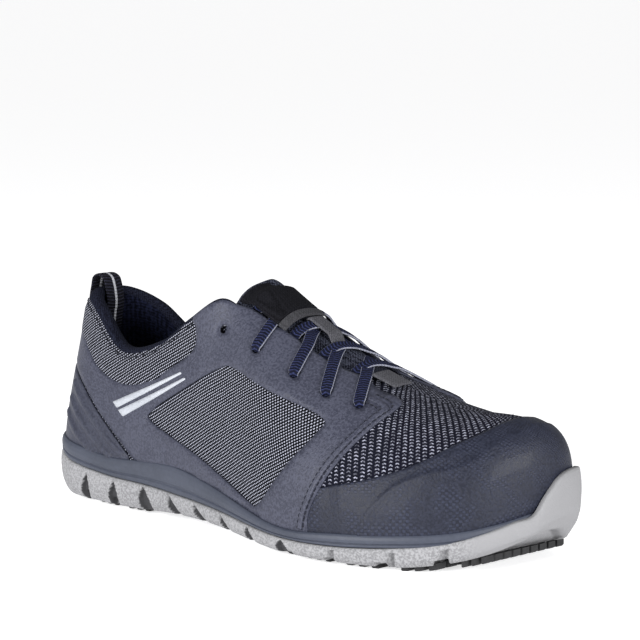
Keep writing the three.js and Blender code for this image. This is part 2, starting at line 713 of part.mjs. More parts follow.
// Tongue: a padded sheet under the crown, cut to the room inside the upper.
const tongueRise = -1; // its top against the crown
const tongue = sheet({
  from: 0.435 * soleLength,
  to: 0.8 * soleLength,
  half: (x) => ballWidth * lerp(0.287, 0.231, ease(0.435 * soleLength, 0.7 * soleLength, x)),
  low: (x, off) => crownHeight(x, off) + tongueRise - tongueThickness,
  high: (x, off) => crownHeight(x, off) + tongueRise - 0.004 * off * off,
  rows: 12,
  columns: 10,
}).intersect(roomInside);

const onTongue = (extra) => (x, off) => crownHeight(x, off) + tongueRise + extra;
const label = sheet({
  from: 0.45 * soleLength,
  to: 0.548 * soleLength,
  half: () => labelWidth / 2,
  low: onTongue(gap),
  high: onTongue(gap + labelThickness),
});
const keeper = sheet({
  from: 0.553 * soleLength,
  to: 0.588 * soleLength,
  half: () => keeperWidth / 2,
  low: onTongue(gap),
  high: onTongue(gap + labelThickness),
  rows: 3,
});
// Height of the wall at a length and a distance from the crown, beside the throat.
function wallHeight(side, x, off) {
  const find = (low, high, passed) => {
    for (let i = 0; i < 24; i++) {
      const middle = (low + high) / 2;
      if (passed(middle)) high = middle;
      else low = middle;
    }
    return (low + high) / 2;
  };
  const station = (t) => find(collarEnd, 10, (s) => wallPoint(side, s, t).x > x);
  const t = find(0.4, 1, (share) => {
    const p = wallPoint(side, station(share), share);
    return side * (p.y - crownY(p.x)) < off;
  });
  return wallPoint(side, station(t), t).z;
}
const eyestayRise = (off) => 5 * (off / crownSpan) ** 2; // of the wall over the crown
const tagBase = (x, off) => crownHeight(x, off) + overlay + 2 * gap + eyestayRise(off);
const tag = sheet({
  from: 0.703 * soleLength,
  to: 0.75 * soleLength,
  half: () => tagWidth / 2,
  middle: -tagOffset,
  low: (x, off) => tagBase(x, off),
  high: (x, off) => tagBase(x, off) + tagThickness,
  rows: 4,
  columns: 6,
});

// Fused panels, cut between two larger forms of the wall.
const under0 = grown(gap, 40);
const panelForm = grown(gap + overlay).subtract(under0);
const raisedForm = (step) => grown(gap + overlay + step).subtract(under0);
const share = (points) => points.map(([x, z]) => [x * soleLength, z * collarHeight]);
const toePanelView = share([
  [0.925, 0.9], [0.918, 0.64], [0.9, 0.56], [0.86, 0.47], [0.8, 0.395], [0.74, 0.35], [0.695, 0.32],
  [0.675, -0.1], [1.05, -0.1], [1.05, 0.9],
]);
const toeCapView = share([
  [0.958, 0.9], [0.94, 0.56], [0.92, 0.475], [0.88, 0.435], [0.845, 0.385], [0.818, 0.3], [0.8, 0.2],
  [0.785, -0.1], [1.05, -0.1], [1.05, 0.9],
]);
// The solid's largest body, without slivers cut off below it.
const largest = (solid) => solid.decompose().sort((a, b) => b.volume() - a.volume())[0];
const toePanel = largest(panelForm
  .intersect(sidePrism(toePanelView))
  .add(raisedForm(capStep).intersect(sidePrism(toeCapView)))
  .subtract(midsoleSpace));

const counterView = share([
  [-0.05, 0.72], [0.035, 0.66], [0.1, 0.58], [0.16, 0.46], [0.215, 0.35], [0.26, 0.24], [0.27, -0.1], [-0.05, -0.1],
]);
const counterEdge = share([
  [-0.05, 0.723], [0.036, 0.663], [0.101, 0.583], [0.161, 0.463], [0.216, 0.353], [0.261, 0.243], [0.271, -0.1],
  [-0.05, -0.1],
]);
const ribViews = [0, 1, 2].map((i) => {
  const down = i * 0.085;
  return share([
    [0.08, 0.58 - down], [0.14, 0.475 - down], [0.2, 0.36 - down], [0.235, 0.29 - down],
    [0.228, 0.26 - down], [0.19, 0.32 - down], [0.13, 0.43 - down], [0.07, 0.545 - down],
  ]);
});
const ribs = wasm.Manifold.union(ribViews.map((view) => sidePrism(view)));
const heelCounter = panelForm
  .intersect(sidePrism(counterView))
  .add(raisedForm(ribStep).intersect(ribs).intersect(sidePrism(counterView)))
  .subtract(midsoleSpace);

const quarterView = share([
  [0.5, 1.3], [0.778, 0.86], [0.777, 0.66], [0.76, 0.55], [0.735, 0.4], [0.705, 0.14], [0.7, -0.1], [0, -0.1],
  [-0.05, 0.4], [-0.05, 0.99], [0.05, 0.95], [0.09, 0.8], [0.145, 0.67], [0.22, 0.615], [0.28, 0.65],
  [0.345, 0.74], [0.388, 0.83], [0.388, 0.92], [0.37, 1], [0.375, 1.3],
]);
function quarterPanel(side) {
  const window = sidePrism(
    share([[0.455, 0.765], [0.38, 0.65], [0.3, 0.52], [0.31, 0.46], [0.44, 0.34], [0.57, 0.21], [0.6, 0.22],
      [0.65, 0.39], [0.69, 0.57], [0.68, 0.62], [0.58, 0.7], [0.48, 0.775]]), { side });
  return panelForm
    .intersect(sidePrism(quarterView, { side }))
    .subtract(window)
    .subtract(sidePrism(counterEdge))
    .subtract(sidePrism(toePanelView.map(([x, z]) => [x - gap, z + gap])))
    .subtract(midsoleSpace)
    .subtract(eyeletHoles(eyeletRadius + 0.5, [side]));
}

// Lace crossings: two flat laces over the tongue, joined where they cross.
function laceEnd(x) {
  let [low, high] = [throatStart, throatFront];
  for (let i = 0; i < 24; i++) {
    const middle = (low + high) / 2;
    if (topX(middle) < x) low = middle;
    else high = middle;
  }
  return Math.max(topOff(low), laceWidth) + laceOver;
}
function laceBase(x, off) {
  const side = off < 0 ? OUTER : INNER;
  const end = laceEnd(x);
  const low = wallHeight(side, x, end) + gap + overlay + laceClear;
  const middle = crownHeight(x, 0) + gap + overlay + laceArch;
  return lerp(middle, low, Math.abs(off / end) ** 3);
}
function laceStrap(side, fromX, toX) {
  const count = 10;
  const spot = (x, off) => new THREE.Vector3(x, crownY(x) + off, laceBase(x, off));
  const points = [];
  const across = [];
  const up = [];
  const start = laceEnd(fromX);
  const end = laceWidth - laceEnd(toX);
  const turn = new THREE.Vector2(toX - fromX, side * (end - start)).normalize();
  for (let i = 0; i <= count; i++) {
    const u = i / count;
    const off = lerp(start, end, u) * side;
    const x = lerp(fromX, toX, u);
    const p = spot(x, off);
    const w = spot(x + turn.y, off - turn.x).sub(p).normalize();
    const d = spot(x + turn.x, off + turn.y).sub(p).normalize();
    points.push(p);
    across.push(w);
    up.push(w.clone().cross(d).normalize());
  }
  return strap(points, (i) => across[i], (i) => up[i], laceWidth, laceThickness);
}
function laceCrossing(i) {
  const at = (e) => wallPoint(OUTER, e.station, e.up).x;
  const x = at(eyelets[i]);
  const next = lerp(x, at(eyelets[i - 1]), 0.5);
  return laceStrap(OUTER, x, next).add(laceStrap(INNER, x, next));
}

// Pull loop: webbing from the outside of the heel over the collar to its inside.
function pullLoop() {
  const outside = overlay + 2 * gap;
  const inside = -(wall + collarPad + gap + loopEase);
  const top = skin(OUTER, 0, 1, 0);
  const reach = skin(OUTER, 0, 1, inside).x - top.x;
  const over = [[-0.1, 0.45], [-0.02, 0.85], [0.2, 1.06], [0.5, 1.06], [0.8, 0.8]].map(([along, high]) =>
    new THREE.Vector3(top.x + along * reach, top.y, top.z + high * loopStand));
  const path = [
    ...[0.8, 0.88, 0.97].map((t) => skin(OUTER, 0, t, outside)),
    ...over,
    ...[0.97, 0.88, 0.8].map((t) => skin(OUTER, 0, t, inside)),
  ];
  const across = () => new THREE.Vector3(0, 1, 0);
  const up = (i) => {
    const d = path[Math.min(i + 1, path.length - 1)].clone().sub(path[Math.max(i - 1, 0)]);
    return new THREE.Vector3(-d.z, 0, d.x).normalize();
  };
  return strap(path, across, up, loopWidth, loopThickness);
}

place("outsole", makeOutsole(), GREY_RUBBER, 0.85);
for (const p of pads) place(p.name, pad(p, 0), BLACK_RUBBER, 0.9);
place("midsole", midsole, MIDSOLE_BLUE);
place("upper", upper.subtract(eyeletHoles(eyeletRadius)), NAVY_BLACK, 0.95);
place("insole", insole, TEXTILE, 0.95);
place("tongue", tongue, TEXTILE, 0.95);
place("tongue_label", label, TEXTILE);
place("lace_keeper", keeper, FILM);
place("throat_tag", tag, FILM);
place("toe_panel", toePanel, FILM);
place("heel_counter", heelCounter, FILM);
place("quarter_panel_outer", quarterPanel(OUTER), FILM);
place("quarter_panel_inner", quarterPanel(INNER), FILM);
place("pull_loop", pullLoop(), TEXTILE, 0.95);
for (let i = 1; i < eyelets.length; i++) place("lace_crossing_" + i, laceCrossing(i), LACE_BLUE, 0.95);

// The origin is on the floor, under the middle of the shoe.
const box = new THREE.Box3().setFromObject(shoe);
const middle = box.getCenter(new THREE.Vector3());
shoe.position.set(-middle.x, -middle.y, -box.min.z);

export default group;
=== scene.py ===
"""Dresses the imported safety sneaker: smooth pieces over its frame, cloth, film and rubber
materials, laces, stitches, camera and studio light. Sizes are in millimetres in the shoe's
own frame (heel at x = 0, floor at z = 0) and become metres in the mesh of each piece."""
import math

import bmesh
import bpy
import numpy as np
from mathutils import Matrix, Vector
from mathutils.geometry import delaunay_2d_cdt


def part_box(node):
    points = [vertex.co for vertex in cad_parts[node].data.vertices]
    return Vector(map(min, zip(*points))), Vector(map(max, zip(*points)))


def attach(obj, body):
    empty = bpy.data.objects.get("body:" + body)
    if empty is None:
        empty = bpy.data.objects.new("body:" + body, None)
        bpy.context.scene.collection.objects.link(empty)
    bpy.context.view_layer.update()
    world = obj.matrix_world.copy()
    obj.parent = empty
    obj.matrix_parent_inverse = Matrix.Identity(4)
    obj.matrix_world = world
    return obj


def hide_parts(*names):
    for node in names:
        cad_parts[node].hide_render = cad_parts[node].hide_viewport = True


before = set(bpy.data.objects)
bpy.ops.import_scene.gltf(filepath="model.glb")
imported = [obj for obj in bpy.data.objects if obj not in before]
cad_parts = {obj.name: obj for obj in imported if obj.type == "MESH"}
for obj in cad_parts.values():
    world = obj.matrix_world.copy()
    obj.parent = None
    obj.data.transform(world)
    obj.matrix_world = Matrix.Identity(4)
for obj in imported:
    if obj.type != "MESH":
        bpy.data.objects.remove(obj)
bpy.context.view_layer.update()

# The last and the sole, as in the part's source
SOLE_LENGTH = 300.0
BALL_WIDTH = 108.0
SOLE_HEIGHT = 28.0
COLLAR_HEIGHT = 100.0
WALL = 2.4
COLLAR_PAD = 4.6
OVERLAY = 0.9
CAP_STEP = 0.6
GAP = 0.3
RIM_WALL = 1.5
TREAD_DEPTH = 2.0
INSOLE = 4.5
CROWN_POWER = 2.4
CROWN_SPAN = BALL_WIDTH / 4
OUTER, INNER = -1, 1
SIDES = ((OUTER, "outer"), (INNER, "inner"))
TOE = 11.0  # last station, at the tip of the toe
THROAT_START = 5.75
THROAT_FRONT = 7.85
COLLAR_END = 5.1

# Plan outline: shares of the length and of the ball width, from heel to toe
PLAN = {
    "length": [0, 0.018, 0.085, 0.2, 0.34, 0.48, 0.62, 0.74, 0.85, 0.935, 0.985, 1],
    OUTER: [0, -0.166, -0.3, -0.334, -0.336, -0.395, -0.48, -0.477, -0.378, -0.2, 0.01, 0.19],
    INNER: [0, 0.166, 0.305, 0.33, 0.3, 0.33, 0.44, 0.517, 0.515, 0.468, 0.352, 0.19],
}
# Side profile: length, then shares of the sole's height
SOLE = {
    "length": [0, 0.05, 0.1, 0.2, 0.28, 0.36, 0.45, 0.56, 0.66, 0.76, 0.85, 0.92, 0.965, 1],
    "lift": [0.19, 0.05, 0, 0, 0.02, 0.07, 0.09, 0.05, 0, 0, 0, 0.1, 0.25, 0.46],
    "split": [0.83, 0.78, 0.68, 0.58, 0.55, 0.5, 0.46, 0.39, 0.32, 0.33, 0.39, 0.46, 0.57, 0.74],
    "bed": [0.93, 0.9, 0.85, 0.79, 0.77, 0.73, 0.62, 0.5, 0.4, 0.42, 0.47, 0.54, 0.66, 0.83],
    "rim": [1.08, 1.07, 1.02, 0.92, 0.95, 0.97, 0.84, 0.63, 0.48, 0.54, 0.6, 0.67, 0.79, 0.96],
}
# Toe bumper by station, running on round the toe from the outer side: its rise over the
# split, the tuck of what stands behind it, and how far its lower edge rolls in
BUMPER = {
    "station": [7.6, 8.6, 9.3, 9.8, 10.2, 10.5, 11, 11.8, 12.3, 12.7, 13.1, 13.8, 14.6],
    "rise": [0, 0.035, 0.12, 0.18, 0.2, 0.44, 0.71, 0.83, 0.84, 0.55, 0.2, 0.06, 0],
    "tuck": [0, 0.002, 0.012, 0.022, 0.028, 0.03, 0.03, 0.03, 0.03, 0.024, 0.012, 0.002, 0],
    "roll": [0, 0, 0.006, 0.022, 0.036, 0.044, 0.046, 0.046, 0.04, 0.022, 0.006, 0, 0],
}
# Top line by station: collar, throat and vamp
TOP = {
    "station": [0, 1, 2, 3, 4, 4.6, 5.1, 5.45, 5.75, 6.4, 7, 7.4, 7.65, 7.85, 8.4, 9, 10, 11],
    "length": [0.042, 0.063, 0.118, 0.205, 0.3, 0.363, 0.412, 0.447, 0.477, 0.56, 0.64, 0.683,
               0.708, 0.723, 0.765, 0.82, 0.89, 0.922],
    "side": [0.02, 0.03, 0.032, 0.012] + [0] * 14,
    "off": [0, 0.13, 0.21, 0.255, 0.25, 0.242, 0.225, 0.19, 0.155, 0.135, 0.124, 0.106, 0.065,
            0, 0, 0, 0, 0],
    "height": [0.995, 0.985, 0.915, 0.765, 0.825, 0.95, 1.05, 1.088],
}
# Crown of the instep along the length
CROWN = {
    "length": [0.41, 0.455, 0.533, 0.633, 0.717, 0.783, 0.84, 0.9, 0.94],
    "side": [-0.005, 0, 0.003, 0.012, 0.028, 0.05, 0.075, 0.105, 0.12],
    "height": [1.185, 1.125, 1, 0.853, 0.765, 0.702, 0.665, 0.655, 0.645],
    "drop": [0.2, 0.19, 0.17, 0.15, 0.14, 0.13, 0.12, 0.11, 0.11],
}
# Fullness of the wall at each station
FORM = {
    "swell": [-0.012, -0.01, 0, 0.012, 0.02, 0.022, 0.022, 0.024, 0.024, 0.03, 0.032, 0.032],
    "rise": [0.3, 0.3, 0.3, 0.32, 0.35, 0.4, 0.44, 0.47, 0.54, 0.64, 0.7, 0.72],
    "reach": [0.3, 0.3, 0.3, 0.32, 0.33, 0.36, 0.46, 0.5, 0.6, 0.88, 0.98, 0.99],
    "flare": [0.03, 0.03, 0.03, 0.028, 0.035, 0.05, 0.05, 0.05, 0.05, 0.05, 0.05, 0.05],
}

# Outsole
# Leaf notches: length at the foot, lean to the tip in mm, height of the tip, half width in mm
NOTCHES = [(0.0145, 1.0, 0.86, 3.3), (0.136, 3.0, 0.86, 3.3), (0.212, 1.4, 0.88, 3.5),
           (0.292, -1.4, 0.95, 4.1), (0.368, -5.4, 0.93, 3.5), (0.443, -7.0, 0.92, 3.4),
           (0.513, -5.0, 0.92, 3.1), (0.583, -2.2, 0.93, 3.3), (0.663, -1.0, 0.93, 3.9)]
# Slanted recesses: length of the lit edge, width in mm, height
RECESSES = [(0.763, 5.0, 0.86), (0.854, 5.4, 0.84), (0.918, 6.0, 0.8)]
# Flex grooves underneath: length, width in mm
GROOVES = [(0.137, 3.0), (0.21, 3.0), (0.677, 3.4), (0.75, 3.4), (0.833, 5.0), (0.91, 5.0)]
NOTCH_DEPTH = 2.3
RECESS_DEPTH = 2.6
GROOVE_DEPTH = 3.4
LEAF = {"height": [0, 0.25, 0.5, 0.8, 1], "half": [0.85, 1, 0.86, 0.42, 0]}
# The outsole's side: offset from the outline, share of the height, share of the roll
SOLE_PROFILE = [(-8.5, 0, 1), (-4.5, 0, 1), (-3, 0.03, 0.8), (-1.9, 0.13, 0.42), (-0.9, 0.27, 0.12),
                (-0.4, 0.4, 0), (0, 0.65, 0), (-0.08, 0.8, 0), (-0.3, 0.92, 0), (-0.75, 0.985, 0),
                (-1.3, 1, 0), (-3.2, 1, 0)]
# The outsole's top under the midsole: inset, and the way down to the split
SOLE_LEDGE = [(4.4, 0.25), (5.0, 1.0)]
# The midsole's side: offset from its own outline, share of the height
MIDSOLE_INSET = 0.8
MIDSOLE_PROFILE = [(-6, 0), (-0.4, 0), (0, 0.05), (0.1, 0.22), (-0.55, 0.26), (-0.55, 0.3), (0.15, 0.34),
                   (0.25, 0.6), (-0.1, 0.82), (-0.75, 0.97), (-1.3, 1.0), (-1.7, 0.98)]
# Insole: rings of inset from the wall's lining and height over the bed
INSOLE_RINGS = [(1.2, 0.0), (0.6, 0.6), (0.4, 2.2), (1.0, 3.9), (2.4, INSOLE)]
# Tread pads: node, and the lengths between which it lies
PADS = [
    ("tread_heel_back", 0.06, 0.127), ("tread_heel_middle", 0.147, 0.2), ("tread_heel_front", 0.22, 0.28),
    ("tread_ball_back", 0.6, 0.667), ("tread_ball_middle", 0.687, 0.74), ("tread_ball_front", 0.76, 0.822),
    ("tread_toe_back", 0.845, 0.9), ("tread_toe_front", 0.92, 0.952),
]
PAD_INSET = 8.8
LUG_ROWS = 3
LUG_COLUMNS = 9
LUG_BEVEL = 0.35
LUG_STEP = 0.5
LUG_SPAN = (0.08, 0.86)  # the part of its place across that a lug fills

# Upper
# Eyelet holes: station and height on the wall, from the ankle down
EYELETS = [(5.34, 0.85), (5.82, 0.765), (6.44, 0.77), (6.94, 0.77), (7.46, 0.755)]
EYELET_RADIUS = 2.1
PUFF = 1.5  # fullness of the padded collar
RIM_STEPS = 7
VAMP_FROM = 211.0
COLLAR_LINING_FROM = 0.62  # height on the wall from which the lining is the collar's

# Film panels in the side view: shares of the sole's length and of the collar's height
FILM_UNDER = 0.05  # how far over the cloth a film's underside lies
TOE_EDGE = [(0.93, 0.645), (0.918, 0.6), (0.9, 0.56), (0.86, 0.47), (0.8, 0.395), (0.74, 0.35),
            (0.695, 0.32), (0.66, 0.3), (0.6, 0.28)]
CAP_EDGE = [(0.94, 0.56), (0.92, 0.475), (0.88, 0.435), (0.845, 0.385), (0.818, 0.3), (0.8, 0.2),
            (0.785, 0.0)]
COUNTER_EDGE = [(-0.02, 0.69), (0.035, 0.66), (0.1, 0.58), (0.16, 0.46), (0.215, 0.35), (0.262, 0.24)]
RIB_LINES = [[(0.075, 0.565), (0.135, 0.455), (0.195, 0.34), (0.235, 0.275)],
             [(0.07, 0.49), (0.125, 0.39), (0.175, 0.3), (0.2, 0.26)],
             [(0.062, 0.42), (0.11, 0.33), (0.15, 0.265), (0.165, 0.245)]]
QUARTER = [(0.47, 1.075), (0.5, 1.03), (0.56, 0.945), (0.62, 0.865), (0.68, 0.79), (0.725, 0.735),
           (0.765, 0.7), (0.779, 0.665), (0.765, 0.57), (0.735, 0.4), (0.71, 0.22), (0.705, 0.12),
           (0.66, 0.105), (0.58, 0.16), (0.48, 0.21), (0.4, 0.25), (0.32, 0.255), (0.27, 0.25),
           (0.222, 0.35), (0.166, 0.46), (0.106, 0.58), (0.06, 0.645), (0.03, 0.68), (0.029, 0.8),
           (0.035, 0.9), (0.05, 0.94), (0.09, 0.8), (0.145, 0.67), (0.22, 0.615), (0.28, 0.65),
           (0.345, 0.74), (0.388, 0.83), (0.388, 0.92), (0.375, 0.985), (0.4, 1.03), (0.435, 1.075)]
WINDOW = [(0.455, 0.765), (0.38, 0.65), (0.302, 0.52), (0.305, 0.455), (0.44, 0.335), (0.565, 0.215),
          (0.6, 0.215), (0.65, 0.39), (0.69, 0.56), (0.68, 0.62), (0.58, 0.7), (0.49, 0.775)]
BARS = [[(0.203, 0.522), (0.215, 0.497), (0.37, 0.712), (0.367, 0.72)],
        [(0.219, 0.488), (0.232, 0.462), (0.382, 0.69), (0.379, 0.698)]]
FRONT_EDGE = [(0.735, 0.727), (0.765, 0.7), (0.779, 0.665), (0.765, 0.57), (0.735, 0.4), (0.712, 0.22),
              (0.706, 0.14)]
TOE_PANEL_FROM = 6.4  # stations at which the bands end, under the quarters
COUNTER_TO = 3.35
RIB_HEIGHT = 0.9
WELT_HEIGHT = 0.35
BAR_HEIGHT = 0.35

# Laces: how far each leans back from its hole to the throat's edge, and the length at which
# it goes in under the other edge
LACE_WIDTH = 5.8
LACE_THICK = 1.1
LACE_ARCH = 0.4
LACE_LEAN = [0, 0.5, 4, 8, 10]
LACE_ENTRY = {OUTER: [0, 142, 160, 175, 190], INNER: [0, 143, 166, 183.5, 201.5]}
# Up through the hole: share of the lace's stand, height, way toward the throat, lean of its face
LACE_HOLE = [(0, -3.4, -0.4, 0.3), (0, -1.0, -0.5, 1), (1, -0.2, -0.2, 0.5), (1, 0.35, 2.4, 0)]
# Share of the way across the throat, and height over the crown
LACE_UNDER = [(0.2, 1.6), (0.5, 0.7), (0.75, 0.3), (0.92, -1.2), (1.04, -3.2), (1.2, -3.7)]
LACE_LABEL = [(0.12, 1.2), (0.3, 0.8), *LACE_UNDER[1:]]
LACE_OVER = [(0.16, 2.7), (0.42, 3.2), (0.68, 2.6), (0.88, 0.4), (1.0, -2.4), (1.16, -3.6)]

# Tongue and the pieces sewn to it
TONGUE_TOP = -1.0  # over the crown of the throat's edges
TONGUE_THICK = 6.0
# Full places: length, distance from the middle, their two radii, height
TONGUE_FULL = [(137, 7, 9, 7, 2.8), (182, 4, 24, 8, 1.8)]
TONGUE_ENDS = (0.437, 0.79)
TONGUE_HALF = (0.262, 0.2)  # half width at the ankle and at the toe end, of the ball width
# Pieces sewn to it, with their bridge over the laces: its height, and the lengths at which it
# starts, is full and has ended
LABEL_FORM = {"half": 13.5, "side": -4.0, "thick": 1.2, "columns": 36, "bridge": (3.6, 137, 145, 172)}
KEEPER_FORM = {"half": 4.6, "side": 0.0, "thick": 1.3, "columns": 16, "bridge": (3.8, 163, 168, 183)}
LABEL_ENDS = (0.45, 0.535)
LABEL_STRIP_ENDS = (0.5345, 0.551)
KEEPER_ENDS = (0.551, 0.608)
TAG_ENDS = (0.703, 0.75)
TAG_HALF = 6.0
TAG_SIDE = -5.0
TAG_THICK = 1.2

# Pull loop: heights on the wall of its two ends, and its arch over the rim as shares of its
# reach inwards and of its stand
LOOP_WIDTH = 11.0
LOOP_THICK = 1.4
LOOP_STAND = 7.9
LOOP_EASE = 3.4
LOOP_OUTSIDE = (0.78, 0.82, 0.88, 0.97)
LOOP_INSIDE = (0.97, 0.88, 0.8, 0.77)
LOOP_OVER = [(-0.1, 0.45), (-0.02, 0.85), (0.2, 1.06), (0.5, 1.06), (0.8, 0.8)]

# Seams of the quarters' front edge, by their distance from it, and of the collar
SEAM_SHIFTS = (-1.6, -4.6)
TAPE_SHIFT = -3.1
TAPE_WIDTH = 2.6
TAPE_THICK = 1.3
COLLAR_SEAM = (0.15, 4.75)
COLLAR_SEAM_UP = 0.965
STITCH_LENGTH = 2.1
STITCH_PITCH = 2.9
STITCH_RADIUS = 0.34
STITCH_SIDES = 6
# A stitch from end to end: share of its length, height over the cloth, fullness
STITCH_FORM = [(-0.5, -0.15, 0.55), (-0.25, 0.12, 1), (0.25, 0.12, 1), (0.5, -0.15, 0.55)]

# Camera and light: the lights' places, sizes and powers in metres and watts
CAMERA_AZIMUTH = 45.04
CAMERA_ELEVATION = 7.36
CAMERA_DISTANCE = 1200.0
CAMERA_TARGET = (170.6, 0.0, 99.4)
CAMERA_LENS = 146.5
SENSOR_WIDTH = 36
LIGHTS = [("key", (-0.1, -1.3, 0.42), (1.1, 0.7), 26), ("side", (1.35, -0.1, 0.3), (0.7, 0.4), 19)]
LIGHT_TARGET = (0, 0, 0.05)
FLOOR_HALF = 90
FLOOR_GLOW = 0.56
SKY = 0.42


def lerp(a, b, t):
    return a + (b - a) * t


def ease(a, b, x):
    t = np.clip((np.asarray(x, float) - a) / (b - a), 0, 1)
    return t * t * (3 - 2 * t)


def arc(points):
    """Length along a line of points."""
    return np.concatenate([[0], np.cumsum(np.linalg.norm(np.diff(points, axis=0), axis=1))])


def through(knots, values, before=None, after=None):
    """A smooth curve through values at knots; before and after are the values beyond them."""
    k = np.array([2 * knots[0] - knots[1], *knots, 2 * knots[-1] - knots[-2]], float)
    v = np.array([
        2 * values[0] - values[1] if before is None else before,
        *values,
        2 * values[-1] - values[-2] if after is None else after,
    ], float)

    def at(x):
        x = np.asarray(x, float)
        i = np.clip(np.searchsorted(k, x, side="left") - 1, 1, len(k) - 3)
        h = k[i + 1] - k[i]
        t = (x - k[i]) / h
        m0 = (v[i + 1] - v[i - 1]) / (k[i + 1] - k[i - 1]) * h
        m1 = (v[i + 2] - v[i]) / (k[i + 2] - k[i]) * h
        t2, t3 = t * t, t * t * t
        return ((2 * t3 - 3 * t2 + 1) * v[i] + (t3 - 2 * t2 + t) * m0
                + (3 * t2 - 2 * t3) * v[i + 1] + (t3 - t2) * m1)
    return at


def along_length(table, key, unit):
    """A curve over millimetres of length from one row of a table."""
    return through(np.array(table["length"]) * SOLE_LENGTH, np.array(table[key]) * unit)


def by_station(knots, values, unit, mirror=1):
    """A curve over stations, running on evenly past the heel and the toe."""
    values = np.array(values, float) * unit
    return through(knots, values, values[1] * mirror, values[-2])


stations = list(range(12))
plan_x = by_station(stations, PLAN["length"], SOLE_LENGTH)
plan_y = {
    side: through(stations, np.array(PLAN[side]) * BALL_WIDTH,
                  PLAN[-side][1] * BALL_WIDTH, PLAN[-side][-2] * BALL_WIDTH)
    for side in (OUTER, INNER)
}
lift_curve = along_length(SOLE, "lift", SOLE_HEIGHT)
split = along_length(SOLE, "split", SOLE_HEIGHT)
bed = along_length(SOLE, "bed", SOLE_HEIGHT)
rim = along_length(SOLE, "rim", SOLE_HEIGHT)
bumper_curve = {
    key: by_station(BUMPER["station"], BUMPER[key], size)
    for key, size in (("rise", SOLE_HEIGHT), ("tuck", BALL_WIDTH), ("roll", BALL_WIDTH))
}
crown_y = along_length(CROWN, "side", BALL_WIDTH)
crown_z = along_length(CROWN, "height", COLLAR_HEIGHT)
crown_drop = along_length(CROWN, "drop", COLLAR_HEIGHT)
top_x = by_station(TOP["station"], TOP["length"], SOLE_LENGTH)
top_off = by_station(TOP["station"], TOP["off"], BALL_WIDTH, -1)
top_side = by_station(TOP["station"], TOP["side"], BALL_WIDTH)
swell = by_station(stations, FORM["swell"], BALL_WIDTH)
base_rise = by_station(stations, FORM["rise"], 1)
top_reach = by_station(stations, FORM["reach"], 1)
flare = by_station(stations, FORM["flare"], BALL_WIDTH)


def lift(x):
    return np.maximum(0, lift_curve(x))


def under(x):
    return TREAD_DEPTH + lift(x)


def bumper(key, side, s):
    station = s if side == OUTER else 2 * TOE - s
    beyond = (station < BUMPER["station"][0]) | (station > BUMPER["station"][-1])
    return np.where(beyond, 0, np.maximum(0, bumper_curve[key](station)))


def crown_height(x, off):
    return crown_z(x) - crown_drop(x) * np.abs(off / CROWN_SPAN) ** CROWN_POWER


def collar_curve():
    """Height of the collar by station, running into the crown at the throat."""
    n = len(TOP["height"])
    x = np.array(TOP["length"][n:n + 2]) * SOLE_LENGTH
    off = np.array(TOP["off"][n:n + 2]) * BALL_WIDTH
    heights = [*(np.array(TOP["height"]) * COLLAR_HEIGHT), *crown_height(x, off)]
    return by_station(TOP["station"][:n + 2], heights, 1)


collar_z = collar_curve()


def pack(x, y, z):
    return np.stack(np.broadcast_arrays(x, y, z), -1)


def outline(side, s, offset, z):
    """Points of the sole's outline moved outwards by offset, at height z."""
    e = 1e-3
    tx = plan_x(s + e) - plan_x(s - e)
    ty = plan_y[side](s + e) - plan_y[side](s - e)
    n = side / np.hypot(tx, ty)
    return pack(plan_x(s) - ty * n * offset, plan_y[side](s) + tx * n * offset, z)


UPPER_INSET = 1.6 + RIM_WALL + GAP


def controls(side, s):
    """The four control points of the wall's curve at each station."""
    inset = -(UPPER_INSET + bumper("tuck", side, s))
    base = outline(side, s, inset, bed(plan_x(s)) + GAP)
    x = top_x(s)
    off = np.where(s >= THROAT_FRONT, 0, np.maximum(0, top_off(s)))
    hanging = 1 - ease(COLLAR_END, THROAT_START, s)
    z = lerp(crown_height(x, off), np.where(s < THROAT_START, collar_z(s), 0), hanging)
    top = pack(x, lerp(crown_y(x), top_side(s), hanging) + side * off, z)
    height = top[..., 2] - base[..., 2]
    low = outline(side, s, inset + swell(s), base[..., 2] + base_rise(s) * height)
    hang = outline(side, s, inset + flare(s), base[..., 2]) - base
    hang[..., 2] = -top_reach(s) * height
    spread = (base - top) * top_reach(s)[..., None]
    e = 0.5
    slope_x = (crown_z(x + e) - crown_z(x - e)) / (2 * e)
    slope_off = (crown_height(x, off + e) - crown_height(x, np.abs(off - e))) / (2 * e)
    spread[..., 2] = slope_x * spread[..., 0] + slope_off * side * spread[..., 1]
    high = top + lerp(spread, hang, hanging[..., None])
    return base, low, high, top


def wall_side(side, s, t):
    a, b, c, d = controls(side, s)
    t = np.asarray(t)[..., None]
    u = 1 - t
    return a * u**3 + b * 3 * u * u * t + c * 3 * u * t * t + d * t**3


def wall_point(side, s, t):
    """Points of the wall; past the heel or the toe the stations run on round the other side."""
    s, t = np.broadcast_arrays(np.asarray(s, float), np.asarray(t, float))
    over = (s < 0) | (s > TOE)
    folded = np.where(s < 0, -s, np.where(s > TOE, 2 * TOE - s, s))
    own = wall_side(side, folded, t)
    if over.any():
        own = np.where(over[..., None], wall_side(-side, folded, t), own)
    return own


def unit(v):
    return v / np.maximum(np.linalg.norm(v, axis=-1, keepdims=True), 1e-12)


